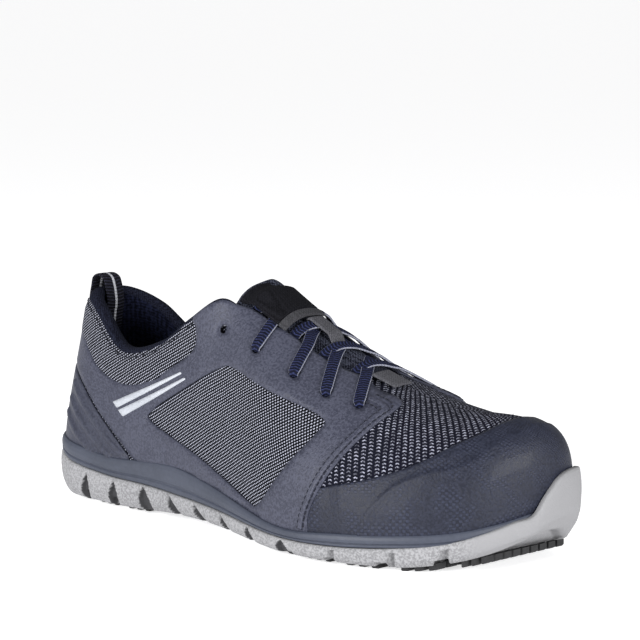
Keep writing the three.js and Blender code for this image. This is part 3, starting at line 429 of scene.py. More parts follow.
def wall_normal(side, s, t):
    s, t = np.broadcast_arrays(np.asarray(s, float), np.asarray(t, float))
    e = 4e-3
    low, high = np.maximum(0, t - e), np.minimum(1, t + e)
    up = wall_point(side, s, high) - wall_point(side, s, low)
    along = wall_point(side, s + e, t) - wall_point(side, s - e, t)
    n = unit(np.cross(up, along) * side)
    folded = np.where(s < 0, -s, np.where(s > TOE, 2 * TOE - s, s))
    ridge = (folded >= THROAT_FRONT) & (t > 1 - 1e-6)
    x = top_x(folded)
    side_slope = (crown_y(x + 1) - crown_y(x - 1)) / 2
    rise_slope = (crown_z(x + 1) - crown_z(x - 1)) / 2
    run = pack(np.ones_like(x), side_slope, rise_slope)
    return np.where(ridge[..., None], unit(np.cross(run, [0, 1, 0])), n)


def skin(side, s, t, offset):
    return wall_point(side, s, t) + wall_normal(side, s, t) * np.asarray(offset)[..., None]


def padding(s, t):
    return COLLAR_PAD * ease(0.5, 0.88, t) * (1 - ease(4.2, 5.3, s))


def origin_shift():
    """From the shoe's own frame to the row's, in millimetres."""
    low = np.array(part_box("outsole")[0]) * 1000
    s = np.linspace(0, TOE, 2000)
    return np.array([low[0], low[1] - outline(OUTER, s, 0, 0)[:, 1].min(), 0.0])


SHIFT = origin_shift()


# Mesh helpers

def new_piece(name, points, faces, material, replaces=(), uv=None, smooth=True, weld=2e-5, slots=None,
              layers=None):
    """A mesh object from points in millimetres, riding on the root. slots are its faces'
    materials, and layers are named values at its points."""
    mesh = bpy.data.meshes.new(name)
    mesh.from_pydata(((points + SHIFT) * 0.001).tolist(), [], faces)
    materials = material if isinstance(material, (list, tuple)) else [material]
    for m in materials:
        mesh.materials.append(m)
    if slots is not None:
        mesh.polygons.foreach_set("material_index", slots)
    if uv is not None:
        layer = mesh.uv_layers.new(name="cloth")
        loops = np.zeros(len(mesh.loops), int)
        mesh.loops.foreach_get("vertex_index", loops)
        layer.data.foreach_set("uv", (np.asarray(uv)[loops] * 0.001).ravel())
    for key, values in (layers or {}).items():
        mesh.attributes.new(key, "FLOAT", "POINT").data.foreach_set("value", np.asarray(values, float))
    o = bpy.data.objects.new(name, mesh)
    bpy.context.scene.collection.objects.link(o)
    b = bmesh.new()
    b.from_mesh(mesh)
    if weld:
        bmesh.ops.remove_doubles(b, verts=b.verts, dist=weld)
    bmesh.ops.dissolve_degenerate(b, edges=b.edges, dist=1e-6)
    bmesh.ops.recalc_face_normals(b, faces=b.faces)
    b.to_mesh(mesh)
    b.free()
    if smooth:
        mesh.shade_smooth()
    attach(o, "root")
    if replaces:
        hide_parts(*replaces)
    return o


def grid_faces(rows, columns, start=0):
    """Quads of a grid of points stored row by row."""
    i, j = np.meshgrid(np.arange(rows - 1), np.arange(columns - 1), indexing="ij")
    a = i * columns + j
    b = a + columns
    return (np.stack([a, b, b + 1, a + 1], -1).reshape(-1, 4) + start).tolist()


def even_stations(step, low=0.0, high=TOE):
    """Stations spaced by about step along the outline."""
    s = np.linspace(low, high, 1500)
    p = outline(OUTER, s, 0, 0)
    run = arc(p)
    return np.interp(np.linspace(0, run[-1], max(3, int(run[-1] / step))), run, s)


class Grids:
    """Gathers grids of points into one mesh."""

    def __init__(self):
        self.points, self.faces, self.flat, self.count = [], [], [], 0

    def add(self, grid, flat=None, keep=None):
        """Adds a grid without the quads that keep leaves out, and returns how many it has."""
        quads = grid_faces(grid.shape[0], grid.shape[1], self.count)
        if keep is not None:
            quads = [q for q, kept in zip(quads, keep) if kept]
        if flat is not None:
            self.flat.append(flat.reshape(-1, 2))
        self.points.append(grid.reshape(-1, 3))
        self.faces += quads
        self.count += len(self.points[-1])
        return len(quads)

    def piece(self, name, material, replaces, **more):
        uv = np.concatenate(self.flat) if self.flat else None
        return new_piece(name, np.concatenate(self.points), self.faces, material, replaces, uv=uv, **more)


def bridge(a, b, count):
    """A grid of points across from one edge to the other."""
    w = np.linspace(0, 1, count + 1)[None, :, None]
    return a[:, None] * (1 - w) + b[:, None] * w


def lofted(name, rings, material, columns, replaces, across=8):
    """A solid from rings round the sole, closed across between its two sides."""
    sides = [np.stack([ring(side, columns) for ring in rings], 1) for side in (OUTER, INNER)]
    solid = Grids()
    for grid in sides:
        solid.add(grid)
    for k in (0, -1):
        solid.add(bridge(sides[0][:, k], sides[1][:, k], across))
    return solid.piece(name, material, replaces)


def smooth_profile(points, count):
    """A profile of (offset, share) points, rounded and resampled."""
    p = np.array(points, float)
    run = arc(p[:, :2] * [1, 12])
    u = np.linspace(0, run[-1], count)
    return np.stack([np.interp(u, run, p[:, k]) for k in range(p.shape[1])], -1)


def closed_curve(points, step):
    """A closed smooth curve through points, resampled by about step."""
    p = np.array(points, float)
    n = len(p)
    u = np.linspace(0, n, n * 24, endpoint=False)
    i = np.floor(u).astype(int)
    t = (u - i)[:, None]
    q = [p[(i + k) % n] for k in (-1, 0, 1, 2)]
    m0, m1 = (q[2] - q[0]) / 2, (q[3] - q[1]) / 2
    c = ((2 * t**3 - 3 * t**2 + 1) * q[1] + (t**3 - 2 * t**2 + t) * m0
         + (3 * t**2 - 2 * t**3) * q[2] + (t**3 - t**2) * m1)
    return resample(np.vstack([c, c[:1]]), step)[:-1]


def open_curve(points, step):
    p = np.array(points, float)
    run = arc(p)
    u = np.linspace(0, run[-1], 40 * len(p))
    dense = np.stack([through(run, p[:, k])(u) for k in range(p.shape[1])], -1)
    return resample(dense, step)


def resample(p, step):
    run = arc(p)
    u = np.linspace(0, run[-1], max(3, int(round(run[-1] / step)) + 1))
    return np.stack([np.interp(u, run, p[:, k]) for k in range(p.shape[1])], -1)


def inside(points, loop):
    """Which points lie inside a closed loop."""
    x, y = points[:, 0][:, None], points[:, 1][:, None]
    a, b = loop, np.roll(loop, -1, 0)
    crosses = (a[:, 1] > y) != (b[:, 1] > y)
    with np.errstate(divide="ignore", invalid="ignore"):
        cut = (b[:, 0] - a[:, 0]) * (y - a[:, 1]) / (b[:, 1] - a[:, 1]) + a[:, 0]
    return (crosses & (x < cut)).sum(1) % 2 == 1


class SideMap:
    """Finds the station and height of points of the side view on one side of the wall."""

    def __init__(self, side):
        self.side = side
        s, t = np.meshgrid(np.linspace(0, TOE, 500), np.linspace(0, 1, 260), indexing="ij")
        p = wall_point(side, s, t)
        self.s, self.t = s.ravel(), t.ravel()
        self.x, self.z = p[..., 0].ravel(), p[..., 2].ravel()

    def __call__(self, view):
        view = np.asarray(view, float)
        out = np.zeros((len(view), 2))
        for k, (x, z) in enumerate(view):
            i = np.argmin((self.x - x) ** 2 + (self.z - z) ** 2)
            out[k] = self.s[i], self.t[i]
        e = 1e-3
        for _ in range(4):
            s, t = out[:, 0], out[:, 1]
            p = wall_point(self.side, s, t)
            ps = (wall_point(self.side, s + e, t) - p) / e
            pt = (wall_point(self.side, s, np.minimum(t + e, 1.0)) - p) / e
            dx, dz = view[:, 0] - p[:, 0], view[:, 1] - p[:, 2]
            det = ps[:, 0] * pt[:, 2] - pt[:, 0] * ps[:, 2]
            ok = np.abs(det) > 20
            det = np.where(ok, det, 1)
            ds = np.where(ok, (dx * pt[:, 2] - dz * pt[:, 0]) / det, 0)
            dt = np.where(ok, (ps[:, 0] * dz - ps[:, 2] * dx) / det, 0)
            out[:, 0] = np.clip(s + np.clip(ds, -0.05, 0.05), 0, TOE)
            out[:, 1] = np.clip(t + np.clip(dt, -0.02, 0.02), 0, 1)
        return out


side_map = {side: SideMap(side) for side in (OUTER, INNER)}
PER_STATION = 27.0  # rough millimetres between stations, to flatten the wall
PER_HEIGHT = 85.0  # and from its foot to its top


def flat_patch(side, loops, step):
    """Triangulates a region of the wall, bounded by side-view loops, in flattened
    coordinates. Returns stations, heights, triangles and the boundary's edges."""
    flat = [side_map[side](loop) * [PER_STATION, PER_HEIGHT] for loop in loops]
    outer, holes = flat[0], flat[1:]
    low, high = outer.min(0), outer.max(0)
    grid = np.stack(np.meshgrid(np.arange(low[0], high[0], step), np.arange(low[1], high[1], step)), -1)
    grid[1::2, :, 0] += step / 2
    grid = grid.reshape(-1, 2)
    keep = inside(grid, outer)
    for hole in holes:
        keep &= ~inside(grid, hole)
    grid = grid[keep]
    edge_points = np.concatenate(flat)
    near = np.ones(len(grid), bool)
    for k in range(0, len(grid), 2000):
        d = np.linalg.norm(grid[k:k + 2000, None] - edge_points[None], axis=2).min(1)
        near[k:k + 2000] = d > 0.55 * step
    grid = grid[near]
    points = np.concatenate([edge_points, grid])
    edges, start = [], 0
    for loop in flat:
        n = len(loop)
        edges += [(start + i, start + (i + 1) % n) for i in range(n)]
        start += n
    out = delaunay_2d_cdt([Vector(p) for p in points], edges, [], 0, 1e-5)
    p = np.array([v[:] for v in out[0]])
    tri = np.array(out[2])
    centre = p[tri].mean(1)
    keep = inside(centre, outer)
    for hole in holes:
        keep &= ~inside(centre, hole)
    tri = tri[keep]
    count = {}
    for a, b, c in tri.tolist():
        for u, v in ((a, b), (b, c), (c, a)):
            count[(min(u, v), max(u, v))] = count.get((min(u, v), max(u, v)), 0) + 1
    rim_edges = [e for e, n in count.items() if n == 1]
    return p / [PER_STATION, PER_HEIGHT], tri, rim_edges


def fused_panel(name, side, loops, material, low=FILM_UNDER, high=GAP + OVERLAY, step=2.2, replaces=(),
                relief=None, round_edge=0.35):
    """A thin panel on the wall, with rounded edges, from side-view loops."""
    st, tri, rim_edges = flat_patch(side, loops, step)
    s, t = st[:, 0], st[:, 1]
    edge = np.zeros(len(st), bool)
    edge[np.array(rim_edges).ravel()] = True
    offset = np.full(len(st), float(high))
    if relief is not None:
        offset = offset + relief(s, t, wall_point(side, s, t))
    top = skin(side, s, t, np.where(edge, offset - round_edge, offset))
    bottom = skin(side, s, t, np.full(len(st), float(low)))
    n = len(st)
    faces = tri.tolist() + (tri[:, ::-1] + n).tolist()
    faces += [[a, b, b + n, a + n] for a, b in rim_edges]
    uv = np.tile(st * [PER_STATION, PER_HEIGHT], (2, 1))
    return new_piece(name, np.concatenate([top, bottom]), faces, material, replaces, uv=uv, weld=0)


def share(points):
    return np.array(points, float) * [SOLE_LENGTH, COLLAR_HEIGHT]


# Materials

class Nodes:
    """Short calls for building one material's nodes."""

    def __init__(self, name, roughness, coat=0.0, sheen=0.0, specular=0.5):
        self.material = bpy.data.materials.new(name)
        self.material.use_nodes = True
        self.tree = self.material.node_tree
        self.tree.nodes.clear()
        self.shader = self.add("ShaderNodeBsdfPrincipled")
        self.shader.inputs["Roughness"].default_value = roughness
        self.shader.inputs["Coat Weight"].default_value = coat
        self.shader.inputs["Sheen Weight"].default_value = sheen
        self.shader.inputs["Specular IOR Level"].default_value = specular
        out = self.add("ShaderNodeOutputMaterial")
        self.link(self.shader.outputs[0], out.inputs[0])

    def add(self, kind, **values):
        n = self.tree.nodes.new(kind)
        for k, v in values.items():
            setattr(n, k, v)
        return n

    def link(self, a, b):
        self.tree.links.new(a, b)

    def set(self, socket, value):
        if hasattr(value, "is_linked"):
            self.link(value, socket)
        else:
            socket.default_value = value

    def math(self, operation, a, b=0.0):
        n = self.add("ShaderNodeMath", operation=operation)
        for socket, value in zip(n.inputs, (a, b)):
            self.set(socket, value)
        return n.outputs[0]

    def times(self, a, b):
        return self.math("MULTIPLY", a, b)

    def plus(self, a, b):
        return self.math("ADD", a, b)

    def minus(self, a, b):
        return self.math("SUBTRACT", a, b)

    def sine(self, a):
        return self.math("SINE", a)

    def size(self, a):
        return self.math("ABSOLUTE", a)

    def mix(self, factor, a, b):
        n = self.add("ShaderNodeMix", data_type="RGBA")
        self.set(n.inputs[0], factor)
        self.set(n.inputs[6], a if hasattr(a, "is_linked") else (*a, 1))
        self.set(n.inputs[7], b if hasattr(b, "is_linked") else (*b, 1))
        return n.outputs[2]

    def between(self, value, low, high, to_low=0.0, to_high=1.0):
        n = self.add("ShaderNodeMapRange", interpolation_type="SMOOTHSTEP")
        for k, v in enumerate((value, low, high, to_low, to_high)):
            self.set(n.inputs[k], v)
        return n.outputs[0]

    def xyz(self, source="Object"):
        c = self.add("ShaderNodeTexCoord")
        s = self.add("ShaderNodeSeparateXYZ")
        self.link(c.outputs[source], s.inputs[0])
        return s.outputs

    def noise(self, scale, detail):
        c = self.add("ShaderNodeTexCoord")
        n = self.add("ShaderNodeTexNoise")
        self.link(c.outputs["Object"], n.inputs["Vector"])
        n.inputs["Scale"].default_value = scale
        n.inputs["Detail"].default_value = detail
        return n.outputs[0]

    def attribute(self, name):
        return self.add("ShaderNodeAttribute", attribute_name=name).outputs["Fac"]

    def color(self, value):
        self.set(self.shader.inputs["Base Color"], value if hasattr(value, "is_linked") else (*value, 1))

    def bump(self, height, distance, strength):
        n = self.add("ShaderNodeBump")
        n.inputs["Strength"].default_value = strength
        n.inputs["Distance"].default_value = distance
        self.link(height, n.inputs["Height"])
        self.link(n.outputs[0], self.shader.inputs["Normal"])


def film_material(name, color, light, squares=0.0):
    """Matte fused film; squares raises the weave of the cloth beneath."""
    n = Nodes(name, 0.5, coat=0.02, specular=0.2)
    cloud = n.noise(60, 4)
    fine = n.noise(950, 2)
    tone = n.plus(n.times(cloud, 0.22), n.times(fine, 0.78))
    shade = n.mix(n.between(tone, 0.4, 0.6), color, light)
    height = n.plus(fine, n.times(n.noise(320, 2), 0.8))
    if squares:
        x, y = n.xyz("UV")[:2]
        cell = 2 * math.pi / WEAVE_CELL
        dots = n.times(n.sine(n.times(x, cell)), n.sine(n.times(y, cell)))
        raised = n.times(n.between(dots, 0, 0.4), n.between(n.noise(90, 2), 0.42, 0.62))
        height = n.plus(height, n.times(raised, squares))
        shade = n.mix(n.times(raised, 0.3), shade, [c * 3 for c in light])
    n.color(shade)
    n.bump(height, 0.0003, 0.9)
    n.set(n.shader.inputs["Roughness"], n.between(fine, 0.3, 0.7, 0.44, 0.6))
    return n.material


def fine_knit():
    """Black and light grey ribbed mesh in slanted rows."""
    n = Nodes("fine knit", 0.85, specular=0.1)
    x, y, z = n.xyz()
    turn = math.radians(KNIT_SLANT)
    row = n.plus(n.times(x, -math.sin(turn)), n.times(z, math.cos(turn)))
    run = n.plus(n.times(x, math.cos(turn)), n.times(z, math.sin(turn)))
    wobble = n.times(n.minus(n.noise(90, 2), 0.5), 0.0007)
    row = n.plus(row, wobble)
    run = n.plus(run, n.times(wobble, 0.6))
    rows = n.sine(n.times(row, 2 * math.pi / KNIT_ROW))
    runs = n.sine(n.times(run, 2 * math.pi / KNIT_RUN))
    thread = n.plus(n.times(rows, 0.6), n.times(runs, 0.4))
    fleck = n.times(n.minus(n.noise(900, 2), 0.5), 0.45)
    level = n.between(n.plus(thread, fleck), 0.26, 0.55)
    n.color(n.mix(level, (0.001, 0.0012, 0.003), (0.3, 0.31, 0.37)))
    n.bump(level, 0.0005, 0.8)
    return n.material


def vamp_knit():
    """Coarse dark air mesh: columns of light stitches over black holes."""
    n = Nodes("vamp mesh", 0.85, specular=0.1)
    u, v = n.xyz("UV")[:2]
    wobble = n.times(n.minus(n.noise(70, 2), 0.5), 0.0012)
    u = n.plus(u, wobble)
    column = n.times(u, 1 / VAMP_COLUMN)
    place = n.minus(n.math("FRACT", column), 0.5)
    parity = n.math("MODULO", n.math("FLOOR", column), 2.0)
    rib = n.size(place)
    rung = n.times(n.plus(v, n.times(rib, VAMP_ROW * 0.9)), 1 / VAMP_ROW)
    rung = n.math("FRACT", n.plus(rung, n.times(parity, 0.5)))
    stitch = n.between(n.size(n.minus(rung, 0.5)), 0.3, 0.14)
    body = n.times(stitch, n.between(rib, 0.38, 0.26))
    fleck = n.between(n.noise(1300, 2), 0.34, 0.62, 0.12, 1.0)
    patch = n.between(n.noise(420, 2), 0.3, 0.6, 0.3, 1.0)
    light = n.times(n.times(body, fleck), patch)
    n.color(n.mix(light, (0.003, 0.0035, 0.009), (0.33, 0.34, 0.42)))
    height = n.plus(body, n.times(n.between(rib, 0.5, 0.2), 0.8))
    n.bump(height, 0.0008, 0.9)
    return n.material


def cloth(name, color, light, scale, bump=0.0002, sheen=0.0):
    """Plain woven cloth with a fuzzy thread."""
    n = Nodes(name, 0.92, sheen=sheen, specular=0.07)
    x, y, z = n.xyz()
    weave = n.times(n.sine(n.times(n.plus(x, z), scale * 3)), n.sine(n.times(n.minus(y, z), scale * 3)))
    fuzz = n.noise(scale, 3)
    level = n.plus(n.times(weave, 0.15), fuzz)
    n.color(n.mix(n.between(level, 0.3, 0.72), color, light))
    n.bump(level, bump, 0.9)
    return n.material


def webbing(name, color, edge, edge_at=0.9, stripe=None):
    """Woven tape with pale edges, or with a pale stripe up its middle."""
    n = Nodes(name, 0.8, specular=0.12)
    u, v = n.xyz("UV")[:2]
    side = n.size(n.times(v, 1000.0))  # 0 at the middle, 1 at the edges
    slant = n.plus(n.times(u, 2 * math.pi / 0.0016), n.times(side, 3.4))
    twill = n.sine(slant)
    fleck = n.noise(1600, 2)
    body = n.mix(n.between(n.plus(n.times(twill, 0.3), fleck), 0.42, 0.9), color,
                 [c * 7.0 + 0.006 for c in color])
    if stripe is None:
        pale = n.between(side, edge_at, edge_at + 0.06)
    else:
        pale = n.between(side, stripe + 0.05, stripe)
    thread = n.mix(fleck, edge, [c * 0.55 for c in edge])
    n.color(n.mix(pale, body, thread))
    n.bump(n.plus(twill, n.times(fleck, 0.5)), 0.00022, 0.9)
    return n.material


def speckled_rubber():
    """Grey outsole rubber with light and dark specks, with painted shade down in its notches and recesses.
    """
    n = Nodes("outsole rubber", 0.72, specular=0.35)
    speck = n.noise(1050, 2)
    cloud = n.noise(45, 3)
    tone = n.mix(n.between(speck, 0.36, 0.64), (0.145, 0.145, 0.152), (0.245, 0.245, 0.254))
    tone = n.mix(n.between(cloud, 0.42, 0.75, 0.0, 0.2), tone, (0.29, 0.29, 0.3))
    smooth = n.between(n.xyz()[0], *BUMPER_SMOOTH)
    tone = n.mix(smooth, tone, (0.205, 0.205, 0.213))
    # Painted shade: the 'dig' layer turns the notches and recesses near black (0.022)
    n.color(n.mix(n.between(n.attribute("dig"), 0.05, 0.95), tone, (0.022, 0.022, 0.025)))
    n.bump(speck, 0.0003, 0.6)
    return n.material


def plain_rubber(name, color, light, roughness, scale=500, bump=0.00012):
    """Foam, rubber or film of one colour with a fine grain."""
    n = Nodes(name, roughness, specular=0.4)
    fine = n.noise(scale, 3)
    cloud = n.noise(35, 3)
    tone = n.plus(n.times(cloud, 0.6), n.times(fine, 0.4))
    n.color(n.mix(n.between(tone, 0.35, 0.65), color, light))
    n.bump(fine, bump, 0.8)
    return n.material


# Pitches in metres, and the slant of the knit's rows in degrees
KNIT_SLANT = 28.0
KNIT_ROW = 0.00138
KNIT_RUN = 0.0013
VAMP_COLUMN = 0.0033
VAMP_ROW = 0.0017
WEAVE_CELL = 0.0026
BUMPER_SMOOTH = (0.126, 0.136)  # lengths between which the speckled rubber turns smooth
FILM = film_material("quarter film", (0.027, 0.029, 0.045), (0.048, 0.051, 0.074))
TOE_FILM = film_material("toe film", (0.0072, 0.0085, 0.0165), (0.0135, 0.0158, 0.028), squares=0.7)
COUNTER_FILM = film_material("counter film", (0.021, 0.023, 0.036), (0.035, 0.038, 0.057))
KNIT = fine_knit()
VAMP = vamp_knit()
LINING = cloth("lining", (0.001, 0.0012, 0.003), (0.004, 0.005, 0.011), scale=900)
COLLAR_LINING = cloth("collar lining", (0.001, 0.0013, 0.004), (0.009, 0.011, 0.027), scale=650)
TONGUE_CLOTH = cloth("tongue cloth", (0.0015, 0.002, 0.005), (0.055, 0.06, 0.085), scale=1300, bump=0.0004)
LABEL = cloth("label cloth", (0.002, 0.002, 0.003), (0.01, 0.01, 0.013), scale=1800)
LABEL_END = cloth("label end", (0.025, 0.025, 0.028), (0.05, 0.05, 0.056), scale=1800)
TAG = cloth("tag cloth", (0.04, 0.04, 0.046), (0.08, 0.08, 0.09), scale=1500)
BINDING = cloth("binding", (0.002, 0.002, 0.005), (0.012, 0.014, 0.026), scale=1500)
LACE = webbing("lace", (0.0022, 0.003, 0.010), (0.27, 0.28, 0.34))
LOOP = webbing("pull loop webbing", (0.002, 0.002, 0.004), (0.5, 0.51, 0.55), stripe=0.1)
RUBBER = speckled_rubber()
MIDSOLE = plain_rubber("midsole foam", (0.024, 0.029, 0.045), (0.034, 0.04, 0.06), 0.55)
TREAD = plain_rubber("tread rubber", (0.006, 0.006, 0.007), (0.014, 0.014, 0.016), 0.7)
THREAD = cloth("thread", (0.004, 0.0045, 0.009), (0.02, 0.022, 0.034), scale=3000, sheen=0.1)
REFLECT = plain_rubber("reflective film", (0.3, 0.315, 0.35), (0.38, 0.395, 0.43), 0.4, 900, 0.00005)


# Sole

def outline_run(side):
    s = np.linspace(0, TOE, 3000)
    p = outline(side, s, 0, 0)
    run = arc(p)
    return s, run, p[:, 0]


def notch_dig(side, s, h):
    """How far the leaf-shaped notches and slanted recesses cut in, and the painted shade that darkens
    them.
    """
    ss, run, xs = outline_run(side)
    here = np.interp(s, ss, run)
    dig = np.zeros(np.broadcast(s, h).shape)
    dark = np.zeros(dig.shape)
    for x, lean, tip, half in NOTCHES:
        u = np.clip(h / tip, 0, 1)
        centre = np.interp(x * SOLE_LENGTH, xs, run) + lean * u
        width = half * np.interp(u, LEAF["height"], LEAF["half"])
        a = np.abs(here - centre) / np.maximum(width, 0.05)
        dig = np.maximum(dig, NOTCH_DEPTH * np.where(h < tip, 1 - ease(0.8, 1.1, a), 0))
        # Painted shade fills each leaf notch and runs just past its cut edge
        dark = np.maximum(dark, np.where(h < tip, 1 - ease(1.04, 1.16, a), 0))
    for x, wide, tip in RECESSES:
        edge = np.interp(x * SOLE_LENGTH, xs, run)
        a = (edge - here) / (wide * (1.15 - 0.55 * h))
        wedge = np.where((a > 0) & (a < 1), 1 - a, 0) * ease(0, 0.09, a) * (1 - ease(tip - 0.1, tip, h))
        dig = np.maximum(dig, RECESS_DEPTH * wedge)
        # Painted shade in the slanted recesses, at about a third of full strength
        dark = np.maximum(dark, 0.35 * np.minimum(1, wedge * 3))
    return dig, dark


def groove_dig(x):
    dig = np.zeros(np.shape(x))
    for at, width in GROOVES:
        a = np.abs(x - at * SOLE_LENGTH) / (width / 2)
        dig = np.maximum(dig, GROOVE_DEPTH * (1 - ease(0.8, 1.15, a)))
    return dig


def build_outsole():
    columns = even_stations(0.6)
    profile = smooth_profile(SOLE_PROFILE, 34)

    def top_edge(side, s):
        return split(plan_x(s)) + bumper("rise", side, s)

    sole, painted_shades, edges = Grids(), [], {}

    def add(grid, dark):
        sole.add(grid)
        painted_shades.append(np.broadcast_to(dark, grid.shape[:2]).ravel())

    for side in (OUTER, INNER):
        s = columns[:, None] * np.ones(len(profile))[None]
        offset, h, rolled = (profile[:, k][None] * np.ones_like(s) for k in range(3))
        rise, roll = bumper("rise", side, s), bumper("roll", side, s)
        offset = offset - rolled * roll - 0.012 * rise * ease(0.7, 1.0, h)
        dig, dark = notch_dig(side, s, h)
        reach = ease(-7.5, -2.5, profile[:, 0])[None]
        x = plan_x(s)
        low = under(x) + groove_dig(x) * (1 - ease(0.1, 0.3, h))
        z = lerp(low, top_edge(side, s), h) + 0.35 * roll * np.exp(-((h - 0.14) / 0.12) ** 2)
        base = outline(side, s, 0, z)
        inward = outline(side, s, -1.0, z)
        p = base + (inward - base) * (dig * reach - offset)[..., None]
        edges[side] = p
        add(p, dark * reach)
    for side in (OUTER, INNER):
        rows = [edges[side][:, -1]]
        for inset, down in SOLE_LEDGE:
            z = lerp(top_edge(side, columns), split(plan_x(columns)), down)
            rows.append(outline(side, columns, -inset, z))
        g = np.stack(rows, 1)
        edges[(side, "top")] = g[:, -1]
        add(g, 0.0)
    add(bridge(edges[OUTER][:, 0], edges[INNER][:, 0], 24), 0.0)
    add(bridge(edges[(OUTER, "top")], edges[(INNER, "top")], 24), 0.0)
    # The 'dig' layer holds the painted shade of the notches and recesses, not their depth
    return sole.piece("outsole_rubber", RUBBER, ("outsole",), layers={"dig": np.concatenate(painted_shades)})


def build_midsole():
    def outer(offset, h):
        def at(side, s):
            x = plan_x(s)
            inset = MIDSOLE_INSET + bumper("tuck", side, s)
            return outline(side, s, offset - inset, lerp(split(x) + GAP, rim(x), h))
        return at

    def inner(down):
        def at(side, s):
            x = plan_x(s)
            inset = UPPER_INSET - GAP + bumper("tuck", side, s)
            return outline(side, s, -inset, lerp(rim(x) - 0.3, bed(x), down))
        return at

    rings = [outer(offset, h) for offset, h in smooth_profile(MIDSOLE_PROFILE, 34)]
    rings += [inner(down) for down in (0.0, 0.5, 1.0)]
    return lofted("midsole_foam", rings, MIDSOLE, even_stations(1.1), ("midsole",))


def lug_rings(x, y):
    """Three rings of points of a tread lug, from its face up into the sole: x holds its two
    ends, and y its two edges at each end."""
    corners = [(0, 0, 1, 1), (0, 1, 1, -1), (1, 1, -1, -1), (1, 0, -1, 1)]
    face, root = lift(x), under(x) + 1.0
    points = []
    for bevel, z in ((LUG_BEVEL, face), (0, face + LUG_STEP), (0, root)):
        points += [(x[i] + sx * bevel, y[i][j] + sy * bevel, z[i]) for i, j, sx, sy in corners]
    return points


def build_pads():
    stations_line = np.linspace(0, TOE, 3000)
    for name, low, high in PADS:
        points, faces = [], []
        ends = np.linspace(low * SOLE_LENGTH, high * SOLE_LENGTH, 2 * LUG_ROWS + 1)
        for row in range(LUG_ROWS):
            x = ends[2 * row:2 * row + 2]
            s = np.interp(x, plan_x(stations_line), stations_line)
            left, right = (outline(side, s, -PAD_INSET, 0)[:, 1] for side in (OUTER, INNER))
            for c in range(LUG_COLUMNS):
                shares = [(c + edge) / LUG_COLUMNS for edge in LUG_SPAN]
                start = len(points)
                points += lug_rings(x, [[lerp(left[k], right[k], w) for w in shares] for k in (0, 1)])
                faces.append([start, start + 1, start + 2, start + 3])
                faces.append([start + 11, start + 10, start + 9, start + 8])
                for layer in (0, 4):
                    for k in range(4):
                        a, b = start + layer + k, start + layer + (k + 1) % 4
                        faces.append([a, a + 4, b + 4, b])
        new_piece(name + "_lugs", np.array(points), faces, TREAD, (name,), smooth=False, weld=0)


# Upper

def puff(s, t):
    return PUFF * ease(0.62, 0.8, t) * (1 - ease(0.9, 1.0, t)) * (1 - ease(3.9, 4.6, s))


def eyelet_pits(side, p):
    """Sinks the cloth at the holes, so that each one is open and dark."""
    pit = np.zeros(p.shape[:-1])
    for station, up in EYELETS:
        d = np.linalg.norm(p - wall_point(side, station, up), axis=-1)
        pit = np.maximum(pit, (WALL + 1.0) * (1 - ease(EYELET_RADIUS * 0.85, EYELET_RADIUS * 1.2, d)))
    return pit


def rolled_rim(s_line, out, back):
    """The bound edge from the cloth's outer skin over to its lining, fullest at the collar."""
    a, b = out[:, -1], back[:, -1]
    crest = unit(a - out[:, -3]) * np.linalg.norm(a - b, axis=1, keepdims=True) * 0.5
    hang = (1 - ease(COLLAR_END, THROAT_START, s_line))[:, None]
    rows = [a]
    for turn in np.linspace(0, 1, RIM_STEPS + 2)[1:-1]:
        w = (1 - math.cos(math.pi * turn)) / 2
        rows.append(a * (1 - w) + b * w + crest * math.sin(math.pi * turn) * lerp(0.25, 1.0, hang))
    return np.stack([*rows, b], 1)


def build_upper():
    s_line = even_stations(1.5)
    t_line = np.linspace(0, 1, 72)
    wall, slots = Grids(), []
    for side in (OUTER, INNER):
        s, t = np.meshgrid(s_line, t_line, indexing="ij")
        p = wall_point(side, s, t)
        out = skin(side, s, t, puff(s, t) - eyelet_pits(side, p))
        back = skin(side, s, t, -WALL - padding(s, t))
        rim_grid = rolled_rim(s_line, out, back)
        foot = np.stack([back[:, 0], out[:, 0]], 1)
        run = np.interp(s, *outline_run(side)[:2])
        steps = np.linalg.norm(np.diff(p, axis=1), axis=2)
        girth = np.concatenate([np.zeros((len(s_line), 1)), np.cumsum(steps, axis=1)], 1)
        uv = np.stack([run, girth], -1)
        open_rows = np.repeat(s_line[:-1] < THROAT_FRONT, rim_grid.shape[1] - 1)
        wall.add(out, uv)
        wall.add(back, uv)
        rim_count = wall.add(rim_grid, np.zeros((*rim_grid.shape[:2], 2)), open_rows)
        foot_count = wall.add(foot, np.zeros((*foot.shape[:2], 2)))
        lining_rows = np.where(t_line[:-1] > COLLAR_LINING_FROM, 4, 2).tolist()
        slots += np.where(out[:-1, :-1, 0] > VAMP_FROM, 1, 0).ravel().tolist()
        slots += lining_rows * (len(s_line) - 1)
        slots += [3] * rim_count + [2] * foot_count
    return wall.piece("upper_cloth", [KNIT, VAMP, LINING, BINDING, COLLAR_LINING], ("upper",),
                      slots=slots, weld=1e-5)


def edge_by_station(side, view, stations_line):
    """The height on the wall of a side-view edge, at each station that it covers."""
    st = side_map[side](open_curve(share(view), 1.5))
    order = np.argsort(st[:, 0])
    return np.interp(stations_line, st[order, 0], st[order, 1])


def rim_share(side, s):
    """The height on the wall just under the midsole's rim."""
    t = np.linspace(0, 0.5, 60)
    z = wall_side(side, np.full(60, s), t)[:, 2]
    return np.interp(rim(plan_x(s)) - 1.2, z, t)


